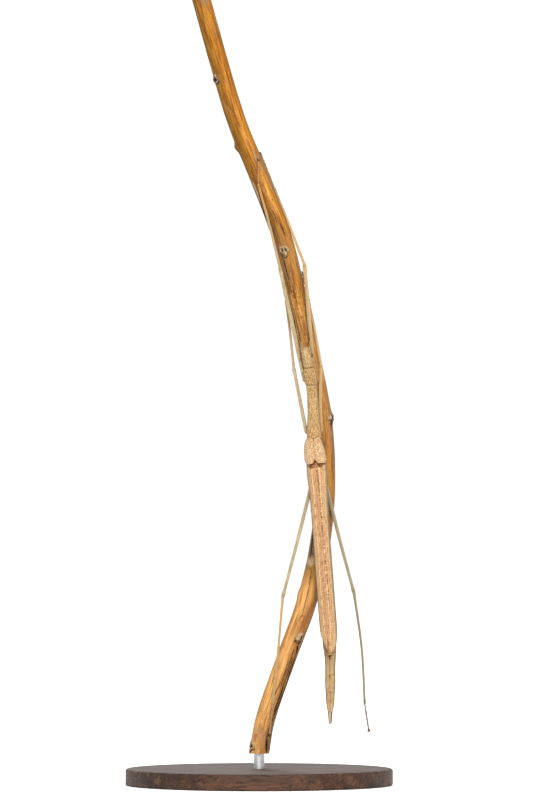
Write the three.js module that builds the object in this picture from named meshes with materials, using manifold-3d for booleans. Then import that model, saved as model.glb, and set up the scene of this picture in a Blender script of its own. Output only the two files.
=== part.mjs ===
// A winged female stick insect, life size, stretched along a cut length of
// branch on a small display stand. Millimetres, +Z up, head up, back facing -Y.
import * as THREE from 'three';
import { LoftGeometry } from 'three/addons/geometries/LoftGeometry.js';
import { mergeVertices } from 'three/addons/utils/BufferGeometryUtils.js';
import Module from 'manifold-3d';

const wasm = await Module();
wasm.setup();
const { Manifold, Mesh } = wasm;

// stand: a flat disc and one short rod
const BASE_RADIUS = 32;
const BASE_THICKNESS = 4;
const BASE_CHAMFER = 0.6;
const ROD_RADIUS = 1.3;

// branch: centre line from the cut foot to the cut top, and its radii
const BRANCH_FOOT_Z = 7.6;
const BRANCH_TOP_Z = 189;
const BRANCH_COURSE = [
  [0, 0, BRANCH_FOOT_Z],
  [1.45, 0, 15.75],
  [6.35, 0, 30.1],
  [11.5, 0, 44.4],
  [14.7, 0, 58.7],
  [15.75, 0, 73],
  [15, 0, 87.4],
  [12.4, 0, 101.7],
  [9.15, 0, 116],
  [5.7, 0, 130.3],
  [0.35, 0.3, 144.6],
  [-5.45, 0.9, 159],
  [-9.75, 1.5, 173.3],
  [-14.1, 2.2, BRANCH_TOP_Z],
];
const BRANCH_R_FOOT = 2.36;
const BRANCH_R_MID = 2.45;
const BRANCH_R_TOP = 2.18;
const BRANCH_SIDES = 14;
const BRANCH_STEP = 2.85;
// knots: height, bearing round the branch (0 faces the viewer, 90 right),
// how far they stand out, and half their length
const KNOTS = [
  { z: 169.5, bearing: -88, rise: 0.4, reach: 1.1 },
  { z: 152.8, bearing: -92, rise: 0.3, reach: 0.9 },
  { z: 127.5, bearing: -16, rise: 0.3, reach: 1.5 },
  { z: 88.2, bearing: 76, rise: 0.45, reach: 1.3 },
  { z: 45.8, bearing: -90, rise: 0.25, reach: 1 },
  { z: 35.6, bearing: 33, rise: 0.3, reach: 1.3 },
  { z: 10.4, bearing: -76, rise: 0.25, reach: 1.4 },
];

// body: axis from the front of the head to the tip of the tail
const BODY_AXIS = [
  [10.93, -4.9, 104.72],
  [11.89, -4.8, 99.78],
  [12.7, -4.7, 93.33],
  [13.15, -4.7, 83.31],
  [13.87, -4.9, 74.24],
  [15.16, -5, 55.86],
  [15.99, -5, 44.4],
  [16.9, -4.9, 32.22],
  [16.95, -4.8, 25.78],
  [16.95, -4.6, 14.9],
];
const BODY_ROLL = THREE.MathUtils.degToRad(7);
const BODY_SIDES = 16;
const SEAM = 0.04;
const CLEAR = 0.03;

// distances along the axis at which one part ends and the next begins
const HEAD_END = 5;
const PROTHORAX_END = 9.15;
const MESOTHORAX_END = 21.9;
const METATHORAX_END = 30.6;
const SEGMENT_ENDS = [33.4, 41.3, 49.2, 57.1, 65, 72.6, 79.1, 82.3, 85.1, 87.1];
const BODY_LENGTH = 90;

// wings and wing covers
const SHELL = 0.5;
const TEGMEN_START = 21.95;
const TEGMEN_END = 27.9;
const WING_START = 22.3;
const WING_END = 73.6;

const toCurve = (points) => new THREE.CatmullRomCurve3(points.map((p) => new THREE.Vector3(...p)), false, 'centripetal');
const branchCurve = toCurve(BRANCH_COURSE);
const bodyCurve = toCurve(BODY_AXIS);
bodyCurve.arcLengthDivisions = 400;

const lerp = THREE.MathUtils.lerp;
const clamp = THREE.MathUtils.clamp;

// value at `at` in a short list of [position, value...] rows
function between(rows, at, column = 1) {
  const last = rows.length - 1;
  if (at <= rows[0][0]) return rows[0][column];
  if (at >= rows[last][0]) return rows[last][column];
  const i = rows.findIndex((row) => row[0] > at) - 1;
  const t = (at - rows[i][0]) / (rows[i + 1][0] - rows[i][0]);
  return lerp(rows[i][column], rows[i + 1][column], t);
}

function welded(geometry) {
  const plain = new THREE.BufferGeometry().copy(geometry);
  plain.deleteAttribute('uv');
  plain.deleteAttribute('normal');
  const joined = mergeVertices(plain, 1e-4);
  joined.computeVertexNormals();
  return joined;
}

function toManifold(geometry) {
  const { position } = geometry.attributes;
  return new Manifold(new Mesh({
    numProp: 3,
    vertProperties: new Float32Array(position.array),
    triVerts: new Uint32Array(geometry.index.array),
  }));
}

function fromManifold(solid) {
  const mesh = solid.getMesh();
  const geometry = new THREE.BufferGeometry();
  geometry.setAttribute('position', new THREE.Float32BufferAttribute(mesh.vertProperties, 3));
  geometry.setIndex(Array.from(mesh.triVerts));
  geometry.computeVertexNormals();
  return geometry;
}

const loft = (sections) => welded(new LoftGeometry(sections, { capStart: true, capEnd: true }));

// crosswise axes at a point on a path: `up` leans as near to `lean` as it can
function crossAxes(tangent, lean) {
  const up = lean.clone().addScaledVector(tangent, -lean.dot(tangent)).normalize();
  const side = new THREE.Vector3().crossVectors(up, tangent);
  return { up, side };
}

// how far a rounded square of this power stands out from a circle
const squareness = (c, s, power) => (Math.abs(c) ** power + Math.abs(s) ** power) ** (-1 / power);

// one ring round a path; `cut` tilts its plane to a mitre
function ring({ centre, tangent, lean, width, top, bottom, sides, square = 2, cut = null }) {
  const { up, side } = crossAxes(tangent, lean);
  const points = [];
  for (let i = 0; i < sides; i += 1) {
    const angle = (i / sides) * Math.PI * 2;
    const c = Math.cos(angle);
    const s = Math.sin(angle);
    const swell = squareness(c, s, square);
    const height = s > 0 ? top : bottom;
    const offset = side.clone().multiplyScalar(width * c * swell).addScaledVector(up, height * s * swell);
    if (cut) offset.addScaledVector(tangent, -offset.dot(cut) / tangent.dot(cut));
    points.push(offset.add(centre));
  }
  return points;
}

// ---- branch -------------------------------------------------------------

function branchAt(z) {
  let low = 0;
  let high = 1;
  for (let i = 0; i < 30; i += 1) {
    const middle = (low + high) / 2;
    if (branchCurve.getPoint(middle).z < z) low = middle;
    else high = middle;
  }
  return branchCurve.getPoint(low);
}

function branchRadius(z) {
  const rows = [
    [BRANCH_FOOT_Z, BRANCH_R_FOOT],
    [80, BRANCH_R_MID],
    [BRANCH_TOP_Z, BRANCH_R_TOP],
  ];
  return between(rows, z);
}

// how far the knots lift the bark at one height and bearing
function knotRise(z, bearing) {
  let rise = 0;
  for (const knot of KNOTS) {
    const along = (z - knot.z) / knot.reach;
    const turn = THREE.MathUtils.euclideanModulo(bearing - knot.bearing + 180, 360) - 180;
    const round = (THREE.MathUtils.degToRad(turn) * BRANCH_R_MID) / knot.reach;
    rise += knot.rise * Math.exp(-(along * along + round * round));
  }
  return rise;
}

function buildBranch() {
  const steps = Math.round(branchCurve.getLength() / BRANCH_STEP);
  const sections = [];
  for (let i = 0; i <= steps; i += 1) {
    const centre = branchCurve.getPointAt(i / steps);
    const tangent = branchCurve.getTangentAt(i / steps);
    const cut = i === 0 || i === steps ? new THREE.Vector3(0, 0, 1) : tangent;
    const { up, side } = crossAxes(tangent, new THREE.Vector3(0, -1, 0));
    const points = [];
    for (let j = 0; j < BRANCH_SIDES; j += 1) {
      const angle = (j / BRANCH_SIDES) * Math.PI * 2;
      const bearing = 90 - THREE.MathUtils.radToDeg(angle);
      const radius = branchRadius(centre.z) + knotRise(centre.z, bearing);
      const offset = side.clone().multiplyScalar(-radius * Math.cos(angle)).addScaledVector(up, radius * Math.sin(angle));
      offset.addScaledVector(tangent, -offset.dot(cut) / tangent.dot(cut));
      points.push(offset.add(centre));
    }
    sections.push(points.reverse());
  }
  return loft(sections);
}

// a point held off the bark at one height and bearing
function besideBark(z, bearing, lift) {
  const centre = branchAt(z);
  const above = branchAt(z + 1);
  const lean = Math.hypot(1, above.x - centre.x);
  const reach = branchRadius(z) + lift;
  const angle = THREE.MathUtils.degToRad(bearing);
  return new THREE.Vector3(centre.x + reach * lean * Math.sin(angle), centre.y - reach * Math.cos(angle), z);
}

// ---- body ---------------------------------------------------------------

const BACK = new THREE.Vector3(-Math.sin(BODY_ROLL), -Math.cos(BODY_ROLL), 0);

function onAxis(distance) {
  const u = clamp(distance / BODY_LENGTH, 0, 1);
  return { centre: bodyCurve.getPointAt(u), tangent: bodyCurve.getTangentAt(u) };
}

// a place on or in the body: along the axis, across to the right, and up from
// the axis towards the back
function bodyPoint(distance, across, rise) {
  const { centre, tangent } = onAxis(distance);
  const { up, side } = crossAxes(tangent, BACK);
  return centre.clone().addScaledVector(side, across).addScaledVector(up, rise);
}

// loft of [distance, half width, height to the back, depth to the belly] rows
function bodyLoft(rows, { grow = 0, sides = BODY_SIDES, square = 2.2 } = {}) {
  const last = rows.length - 1;
  const sections = rows.map((row, i) => {
    const shift = i === 0 ? -grow : i === last ? grow : 0;
    const { centre, tangent } = onAxis(row[0]);
    centre.addScaledVector(tangent, shift);
    return ring({
      centre,
      tangent,
      lean: BACK,
      width: row[1] + grow,
      top: row[2] + grow,
      bottom: row[3] + grow,
      sides,
      square,
    });
  });
  return loft(sections);
}

const HEAD_ROWS = [
  [0.06, 0.7, 0.42, 0.5],
  [0.3, 0.96, 0.62, 0.7],
  [1, 1.16, 0.85, 0.92],
  [2.1, 1.32, 1.02, 1.04],
  [3.4, 1.34, 1.1, 1.06],
  [4.5, 1.24, 1.02, 1],
  [HEAD_END - SEAM / 2, 1, 0.8, 0.82],
];
const PROTHORAX_ROWS = [
  [HEAD_END + SEAM / 2, 1.2, 0.92, 0.95],
  [HEAD_END + 0.35, 1.34, 1.04, 1.05],
  [HEAD_END + 1.5, 1.4, 1.1, 1.1],
  [HEAD_END + 2.1, 1.34, 1, 1.1],
  [HEAD_END + 2.7, 1.4, 1.1, 1.12],
  [PROTHORAX_END - 0.3, 1.42, 1.1, 1.12],
  [PROTHORAX_END - SEAM / 2, 1.3, 1, 1.05],
];
const MESOTHORAX_ROWS = [
  [PROTHORAX_END + SEAM / 2, 1.2, 0.98, 1],
  [PROTHORAX_END + 0.4, 1.28, 1.08, 1.1],
  [PROTHORAX_END + 4, 1.34, 1.14, 1.15],
  [PROTHORAX_END + 8, 1.46, 1.22, 1.25],
  [PROTHORAX_END + 11, 1.66, 1.34, 1.4],
  [MESOTHORAX_END - SEAM / 2, 1.76, 1.4, 1.42],
];
const METATHORAX_ROWS = [
  [MESOTHORAX_END + SEAM / 2, 1.38, 1.1, 1.36],
  [MESOTHORAX_END + 2, 1.5, 1.2, 1.4],
  [MESOTHORAX_END + 5, 1.66, 1.26, 1.42],
  [METATHORAX_END - SEAM / 2, 1.7, 1.24, 1.32],
];
// abdomen outline: distance, half width, height, depth
const ABDOMEN_OUTLINE = [
  [METATHORAX_END, 1.68, 1.24, 1.3],
  [36, 1.52, 1.2, 1.24],
  [45, 1.4, 1.12, 1.18],
  [60, 1.42, 1.08, 1.14],
  [70, 1.44, 1.04, 1.08],
  [76, 1.34, 1, 1],
  [79.1, 1.24, 0.95, 0.95],
  [82.3, 1.06, 0.85, 0.85],
  [85.1, 0.86, 0.7, 0.7],
  [87.1, 0.56, 0.45, 0.45],
];

function abdomenRow(distance, lip) {
  const column = (i) => between(ABDOMEN_OUTLINE, distance, i) + lip;
  return [distance, column(1), column(2), column(3)];
}

// each segment is a ring a little proud at its hind rim
function buildSegment(index) {
  const start = index === 0 ? METATHORAX_END : SEGMENT_ENDS[index - 1];
  const end = SEGMENT_ENDS[index];
  const rows = [
    abdomenRow(start + SEAM / 2, -0.04),
    abdomenRow(lerp(start, end, 0.15), -0.02),
    abdomenRow(end - 0.35, 0.02),
    abdomenRow(end - SEAM / 2, -0.02),
  ];
  return bodyLoft(rows, { sides: 14 });
}

const lessHost = (piece, host) => fromManifold(toManifold(piece).subtract(toManifold(host)));
const grownHead = () => bodyLoft(HEAD_ROWS, { grow: CLEAR });

// a short taper between two places, rounded off at its far end
function peg(start, end, startRadius, endRadius, { sides = 8, lean = BACK, flat = 1 } = {}) {
  const tangent = end.clone().sub(start).normalize();
  const length = end.distanceTo(start);
  const rows = [
    [0, startRadius],
    [0.5, lerp(startRadius, endRadius, 0.5)],
    [0.85, endRadius],
    [0.97, endRadius * 0.75],
    [1, endRadius * 0.4],
  ];
  const sections = rows.map(([t, radius]) => ring({
    centre: start.clone().addScaledVector(tangent, t * length),
    tangent,
    lean,
    width: radius,
    top: radius * flat,
    bottom: radius * flat,
    sides,
  }));
  return loft(sections);
}

function buildEye(side) {
  const eye = new THREE.SphereGeometry(1, 10, 8);
  eye.scale(0.42, 0.46, 0.56);
  const place = bodyPoint(2.15, side * 1.18, 0.42);
  eye.translate(place.x, place.y, place.z);
  return lessHost(welded(eye), grownHead());
}

// upper lip, jaws and the cheeks round them, under the front of the head
function buildMouthparts() {
  const rows = [
    [-0.2, 0.36, 0.1, 0.42],
    [0, 0.58, 0.2, 0.66],
    [0.5, 0.74, 0.3, 0.9],
    [1.2, 0.78, 0.2, 1.02],
    [1.9, 0.6, 0.1, 0.98],
  ];
  const sections = rows.map(([distance, width, top, bottom]) => {
    const { centre, tangent } = onAxis(0);
    centre.addScaledVector(tangent, distance).addScaledVector(BACK, -0.3);
    return ring({ centre, tangent, lean: BACK, width, top, bottom, sides: 12 });
  });
  return lessHost(loft(sections), grownHead());
}

function buildPalp(side) {
  const root = bodyPoint(1.5, side * 0.6, -1.36);
  const tip = bodyPoint(0.1, side * 0.62, -1.34);
  return peg(root, tip, 0.26, 0.25, { sides: 7 });
}

// ovipositor keel under the last segments
function buildOperculum() {
  const rows = [
    [79.3, 0.3, 0.1],
    [80.4, 0.52, 0.34],
    [84, 0.5, 0.42],
    [87.2, 0.34, 0.34],
    [88.2, 0.14, 0.16],
  ];
  const sections = rows.map(([distance, width, depth]) => {
    const { centre, tangent } = onAxis(distance);
    centre.addScaledVector(BACK, -between(ABDOMEN_OUTLINE, distance, 3) - 0.02);
    return ring({ centre, tangent, lean: BACK, width, top: 0.3, bottom: depth, sides: 10 });
  });
  const tail = bodyLoft([79, 81, 83, 85, 87.1, 88.6].map((at) => abdomenRow(at, CLEAR + 0.03)));
  return lessHost(loft(sections), tail);
}

function buildCercus(side) {
  const root = bodyPoint(87.16, side * 0.36, 0.02);
  const tip = bodyPoint(89.9, side * 0.25, -0.06);
  return peg(root, tip, 0.33, 0.22, { sides: 8, flat: 1.15 });
}

// ---- wings --------------------------------------------------------------

// a curved sheet over the back: rows of [distance, half width, height,
// from angle, to angle]; angles start at the midline of the back
function shellLoft(rows, side, thickness, arcPoints) {
  const sections = rows.map(([distance, width, height, from, to]) => {
    const points = [];
    const place = (degrees, inset) => {
      const angle = THREE.MathUtils.degToRad(degrees);
      const across = Math.sin(angle);
      const rise = Math.cos(angle);
      const swell = squareness(across, rise, 2.2);
      return bodyPoint(distance, side * (width - inset) * across * swell, (height - inset) * rise * swell);
    };
    for (let i = 0; i < arcPoints; i += 1) points.push(place(lerp(from, to, i / (arcPoints - 1)), 0));
    for (let i = arcPoints - 1; i >= 0; i -= 1) points.push(place(lerp(from, to, i / (arcPoints - 1)), thickness));
    return side > 0 ? points.reverse() : points;
  });
  return loft(sections);
}

// folded hind wing: its stiff front panel lies over the abdomen
function buildWing(side) {
  const rows = [
    [WING_START, 1.96, 1.72, 1, 78],
    [26, 2.2, 1.8, 1, 92],
    [30, 2.42, 1.84, 1, 98],
    [33.5, 2.24, 1.82, 1, 100],
    [38, 2.08, 1.76, 1, 100],
    [48, 2, 1.68, 1, 100],
    [58, 2.04, 1.64, 1, 100],
    [66.5, 2.04, 1.62, 1, 98],
    [70, 2.02, 1.6, 1, 82],
    [71.8, 2, 1.59, 2, 56],
    [73, 2, 1.58, 3, 33],
    [WING_END, 2, 1.57, 4, 17],
  ];
  return shellLoft(rows, side, SHELL, 7);
}

// short wing cover: an oval, domed scale over the wing root
function buildTegmen(side) {
  const rows = [
    [TEGMEN_START, 2.52, 2.3, 5, 46],
    [TEGMEN_START + 0.5, 2.56, 2.36, 2, 62],
    [TEGMEN_START + 1.5, 2.68, 2.44, 2, 82],
    [TEGMEN_START + 2.8, 2.8, 2.46, 2, 84],
    [TEGMEN_START + 4.2, 2.86, 2.44, 2, 76],
    [TEGMEN_START + 5.1, 2.9, 2.42, 5, 68],
    [TEGMEN_START + 5.6, 2.9, 2.41, 12, 58],
    [TEGMEN_END, 2.9, 2.4, 22, 48],
  ];
  return shellLoft(rows, side, SHELL, 8);
}

// ---- legs ---------------------------------------------------------------

// thickness along each limb: share of its length, half width, half height
const FEMUR_FORE = [[0, 0.36, 0.34], [0.1, 0.38, 0.36], [0.25, 0.46, 0.48], [0.5, 0.48, 0.5], [0.9, 0.4, 0.42], [0.96, 0.5, 0.48], [1, 0.46, 0.44]];
const FEMUR_MID = [[0, 0.38, 0.38], [0.1, 0.4, 0.42], [0.6, 0.36, 0.38], [0.88, 0.34, 0.36], [0.95, 0.46, 0.44], [1, 0.4, 0.38]];
const FEMUR_HIND = [[0, 0.36, 0.36], [0.1, 0.4, 0.4], [0.6, 0.36, 0.37], [0.93, 0.34, 0.36], [0.975, 0.46, 0.44], [1, 0.4, 0.38]];
const TIBIA = [[0, 0.38, 0.36], [0.04, 0.3, 0.3], [0.5, 0.27, 0.27], [0.94, 0.26, 0.26], [1, 0.3, 0.28]];
// five tarsal joints, the first the longest, ending in the pad
const TARSUS = [
  [0, 0.26, 0.26], [0.42, 0.28, 0.27], [0.46, 0.25, 0.25], [0.6, 0.28, 0.26],
  [0.75, 0.26, 0.25], [0.94, 0.27, 0.27], [1, 0.36, 0.27],
];

function limbCurve(start, end, bow) {
  const middle = start.clone().lerp(end, 0.5).add(new THREE.Vector3(...bow));
  return new THREE.CatmullRomCurve3([start, middle, end], false, 'centripetal');
}

// loft a limb along its curve, with both ends cut to the joint planes
function limbLoft(curve, profile, steps, { startCut = null, endCut = null, lean = BACK, sides = 8 } = {}) {
  const length = curve.getLength();
  const shares = new Set(profile.map((row) => row[0]));
  for (let i = 1; i < steps; i += 1) shares.add(i / steps);
  const ordered = [...shares].sort((a, b) => a - b).filter((t, i, all) => i === 0 || t - all[i - 1] > 0.012 || t === 1);
  const sections = ordered.map((share) => {
    const inset = share === 0 ? SEAM / 2 : share === 1 ? -SEAM / 2 : 0;
    const u = clamp(share + inset / length, 0, 1);
    return ring({
      centre: curve.getPointAt(u),
      tangent: curve.getTangentAt(u),
      lean,
      width: between(profile, share, 1),
      top: between(profile, share, 2),
      bottom: between(profile, share, 2),
      sides,
      square: 2.3,
      cut: share === 0 ? startCut : share === 1 ? endCut : null,
    });
  });
  return loft(sections);
}

// pad and pair of hooked claws at the end of a tarsus
function buildFoot(curve, grip) {
  const tip = curve.getPointAt(1);
  const tangent = curve.getTangentAt(1);
  const across = new THREE.Vector3().crossVectors(tangent, grip).normalize();
  const parts = [];
  for (const side of [-1, 1]) {
    const root = tip.clone().addScaledVector(tangent, -0.25).addScaledVector(across, side * 0.2);
    const bend = tip.clone().addScaledVector(tangent, 0.35).addScaledVector(across, side * 0.42);
    const hook = bend.clone().addScaledVector(tangent, 0.22).addScaledVector(grip, 0.14);
    const claw = new THREE.CatmullRomCurve3([root, bend, hook]);
    parts.push(limbLoft(claw, [[0, 0.2, 0.2], [0.6, 0.19, 0.19], [1, 0.1, 0.1]], 2, { lean: across, sides: 5 }));
  }
  return parts;
}

function mitre(before, after) {
  return before.getTangentAt(1).add(after.getTangentAt(0)).normalize();
}

// hip, knee and ankle joints and the tip of the foot for each posed leg;
// `grip` points from the foot to what it holds
function legPoses() {
  const v = (x, y, z) => new THREE.Vector3(x, y, z);
  return {
    fore_left: {
      root: bodyPoint(7.9, -0.85, -0.7),
      hip: v(10.7, -3.7, 96.9),
      knee: v(4.96, -3.55, 123.65),
      ankle: besideBark(143.6, -19, 0.36),
      tip: besideBark(149.3, 29, 0.4),
      femurBow: [0.1, 0, 0],
      tibiaBow: [0.15, -0.55, 0],
      tarsusBow: [0, -0.24, 0],
      femur: FEMUR_FORE,
      coxaRadius: 0.56,
    },
    fore_right: {
      root: bodyPoint(7.9, 0.85, -0.7),
      hip: v(13.15, -3.3, 96.9),
      knee: v(10.79, -3.4, 124.5),
      ankle: besideBark(142.9, 106, 0.34),
      tip: besideBark(151, 100, 0.36),
      femurBow: [0.05, 0, 0],
      tibiaBow: [0.1, 0.8, 0],
      femur: FEMUR_FORE,
      coxaRadius: 0.56,
    },
    mid_left: {
      root: bodyPoint(20.6, -1.05, -0.8),
      hip: v(11.2, -3.75, 84.6),
      knee: v(8.26, -3.6, 99.66),
      ankle: besideBark(116, -86, 0.5),
      tip: besideBark(121.1, -84, 0.5),
      femurBow: [0, -0.1, 0],
      tibiaBow: [0.1, -0.3, 0],
      femur: FEMUR_MID,
      coxaRadius: 0.5,
    },
    mid_right: {
      root: bodyPoint(20.6, 1.05, -0.8),
      hip: v(14.85, -3.75, 84.9),
      knee: v(14.68, -3.7, 100.26),
      ankle: besideBark(116.6, 78, 0.45),
      tip: besideBark(122.4, 82, 0.4),
      femurBow: [0.08, -0.1, 0],
      tibiaBow: [0.1, -0.3, 0],
      femur: FEMUR_MID,
      coxaRadius: 0.5,
    },
    hind_left: {
      root: bodyPoint(28.6, -0.7, -0.95),
      hip: v(13.05, -3.15, 74.3),
      knee: v(5.61, -4.4, 45.1),
      ankle: besideBark(18.8, 16, 0.38),
      tip: besideBark(12.3, 38, 0.4),
      femurBow: [0.1, 0, 0],
      tibiaBow: [0.1, -0.5, 0],
      femur: FEMUR_HIND,
      coxaRadius: 0.5,
    },
    hind_right: {
      root: bodyPoint(28.6, 0.9, -0.95),
      hip: v(15.4, -3.15, 74.3),
      knee: v(22.63, -4.4, 46.07),
      ankle: v(25.2, -4.1, 19.6),
      tip: v(26.15, -4.1, 13.3),
      femurBow: [-0.15, 0, 0],
      tibiaBow: [0.35, 0.1, 0],
      femur: FEMUR_HIND,
      coxaRadius: 0.5,
      grip: [-0.5, 0.85, 0],
    },
  };
}

const THORAX_HOSTS = { fore: PROTHORAX_ROWS, mid: MESOTHORAX_ROWS, hind: METATHORAX_ROWS };
const STRAIGHT = [0, 0, 0];

function buildLeg(name, pose) {
  const grip = pose.grip
    ? new THREE.Vector3(...pose.grip).normalize()
    : branchAt(pose.tip.z).sub(pose.tip).normalize();
  const coxaCurve = new THREE.LineCurve3(pose.root, pose.hip);
  const femurCurve = limbCurve(pose.hip, pose.knee, pose.femurBow);
  const tibiaCurve = limbCurve(pose.knee, pose.ankle, pose.tibiaBow);
  const tarsusCurve = limbCurve(pose.ankle, pose.tip, pose.tarsusBow ?? STRAIGHT);
  const hipCut = mitre(coxaCurve, femurCurve);
  const kneeCut = mitre(femurCurve, tibiaCurve);
  const ankleCut = mitre(tibiaCurve, tarsusCurve);
  const radius = pose.coxaRadius;
  const neck = pose.femur[0];
  const coxaProfile = [[0, radius, radius], [0.6, radius, radius], [1, neck[1] + 0.03, neck[2] + 0.03]];
  const coxa = limbLoft(coxaCurve, coxaProfile, 1, { endCut: hipCut, sides: 7 });
  const host = bodyLoft(THORAX_HOSTS[name.split('_')[0]], { grow: CLEAR });
  let foot = toManifold(limbLoft(tarsusCurve, TARSUS, 1, { startCut: ankleCut, sides: 7 }));
  for (const claw of buildFoot(tarsusCurve, grip)) foot = foot.add(toManifold(claw));
  return {
    coxa: lessHost(coxa, host),
    femur: limbLoft(femurCurve, pose.femur, 5, { startCut: hipCut, endCut: kneeCut }),
    tibia: limbLoft(tibiaCurve, TIBIA, 6, { startCut: kneeCut, endCut: ankleCut }),
    tarsus: fromManifold(foot),
  };
}

// feeler: a stout first joint on the head, then a long thin whip
function buildAntenna(side, course) {
  const root = bodyPoint(0.95, side * 0.9, 0.55);
  const points = [root, ...course.map((p) => new THREE.Vector3(...p))];
  const curve = new THREE.CatmullRomCurve3(points, false, 'centripetal');
  const profile = [[0, 0.36, 0.36], [0.04, 0.36, 0.36], [0.055, 0.28, 0.28], [0.5, 0.26, 0.26], [1, 0.25, 0.25]];
  const whip = limbLoft(curve, profile, 8, { sides: 6 });
  return lessHost(whip, grownHead());
}

const ANTENNA_LEFT = [
  [10.0, -5.5, 105.2],
  [9.65, -5.1, 107.4],
  [8.75, -4.75, 111.5],
  [7.4, -4.65, 116.5],
  [5.9, -4.7, 122.6],
];
const ANTENNA_RIGHT = [
  [12.1, -5.45, 105.3],
  [11.85, -4.95, 107.4],
  [11.25, -4.7, 111.5],
  [10.95, -4.6, 116.5],
  [10.35, -4.5, 122],
];

// ---- stand --------------------------------------------------------------

function buildBase() {
  const outline = [
    [0, 0],
    [BASE_RADIUS - BASE_CHAMFER, 0],
    [BASE_RADIUS, BASE_CHAMFER],
    [BASE_RADIUS, BASE_THICKNESS - BASE_CHAMFER],
    [BASE_RADIUS - BASE_CHAMFER, BASE_THICKNESS],
    [0, BASE_THICKNESS],
  ];
  const disc = new THREE.LatheGeometry(outline.map((p) => new THREE.Vector2(...p)), 40);
  return welded(disc.rotateX(Math.PI / 2));
}

function buildRod() {
  const height = BRANCH_FOOT_Z - BASE_THICKNESS - 2 * CLEAR;
  const rod = new THREE.CylinderGeometry(ROD_RADIUS, ROD_RADIUS, height, 20);
  rod.rotateX(Math.PI / 2);
  rod.translate(0, 0, BASE_THICKNESS + CLEAR + height / 2);
  return welded(rod);
}

// ---- materials ----------------------------------------------------------

const paint = (color, roughness, metalness = 0) => () => new THREE.MeshStandardMaterial({ color, roughness, metalness });
const bodyShell = paint(0xc9a46c, 0.55);
const legShell = paint(0xbfa878, 0.55);
const wingMembrane = paint(0xdcb07c, 0.6);
const coverShell = paint(0xf0cc98, 0.65);
const eyeGloss = paint(0x4a2a18, 0.25);
const branchBark = paint(0xb9783a, 0.75);
const standWood = paint(0x5a3a26, 0.5);
const standSteel = paint(0xb9bcc0, 0.35, 1);

const model = new THREE.Group();
model.name = 'stick_insect';

function add(name, geometry, material) {
  const mesh = new THREE.Mesh(geometry, material());
  mesh.name = name;
  model.add(mesh);
}

add('stand_base', buildBase(), standWood);
add('stand_rod', buildRod(), standSteel);
add('perch_branch', buildBranch(), branchBark);
add('head', bodyLoft(HEAD_ROWS), bodyShell);
add('mouthparts', buildMouthparts(), bodyShell);
add('prothorax', bodyLoft(PROTHORAX_ROWS), bodyShell);
add('mesothorax', bodyLoft(MESOTHORAX_ROWS), bodyShell);
add('metathorax', bodyLoft(METATHORAX_ROWS), bodyShell);
SEGMENT_ENDS.forEach((end, i) => {
  add(`abdomen_${String(i + 1).padStart(2, '0')}`, buildSegment(i), bodyShell);
});
add('operculum', buildOperculum(), bodyShell);
add('antenna_left', buildAntenna(-1, ANTENNA_LEFT), legShell);
add('antenna_right', buildAntenna(1, ANTENNA_RIGHT), legShell);
for (const [label, side] of [['left', -1], ['right', 1]]) {
  add(`eye_${label}`, buildEye(side), eyeGloss);
  add(`palp_${label}`, buildPalp(side), legShell);
  add(`cercus_${label}`, buildCercus(side), bodyShell);
  add(`tegmen_${label}`, buildTegmen(side), coverShell);
  add(`wing_${label}`, buildWing(side), wingMembrane);
}
for (const [name, pose] of Object.entries(legPoses())) {
  for (const [limb, geometry] of Object.entries(buildLeg(name, pose))) {
    add(`${limb}_${name}`, geometry, legShell);
  }
}

export default model;
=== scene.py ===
import math

import bmesh
import bpy
import numpy as np
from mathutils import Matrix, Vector, noise


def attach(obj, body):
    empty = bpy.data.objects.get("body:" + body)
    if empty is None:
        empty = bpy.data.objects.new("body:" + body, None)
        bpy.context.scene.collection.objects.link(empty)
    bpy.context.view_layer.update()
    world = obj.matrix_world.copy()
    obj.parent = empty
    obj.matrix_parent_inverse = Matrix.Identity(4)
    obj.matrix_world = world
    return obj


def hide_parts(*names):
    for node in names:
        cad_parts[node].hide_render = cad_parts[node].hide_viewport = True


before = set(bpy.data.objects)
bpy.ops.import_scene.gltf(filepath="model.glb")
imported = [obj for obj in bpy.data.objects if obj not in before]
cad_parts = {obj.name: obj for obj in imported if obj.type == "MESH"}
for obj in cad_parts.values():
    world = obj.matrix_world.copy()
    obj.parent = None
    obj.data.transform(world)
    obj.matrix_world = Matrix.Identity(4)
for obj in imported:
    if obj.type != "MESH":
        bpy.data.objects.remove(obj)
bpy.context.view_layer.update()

# ---- Display base --------------------------------------------------------
# A walnut disc turned on a lathe and oiled, with a small round on both
# edges. It lies flat and carries the branch on one short rod.
MM = 0.001


def tone(card):
    """A colour named as on a paint card, in the shader's own numbers."""
    parts = [int(card[i : i + 2], 16) / 255 for i in (0, 2, 4)]
    return [*(p / 12.92 if p <= 0.04045 else ((p + 0.055) / 1.055) ** 2.4 for p in parts), 1]


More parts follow.
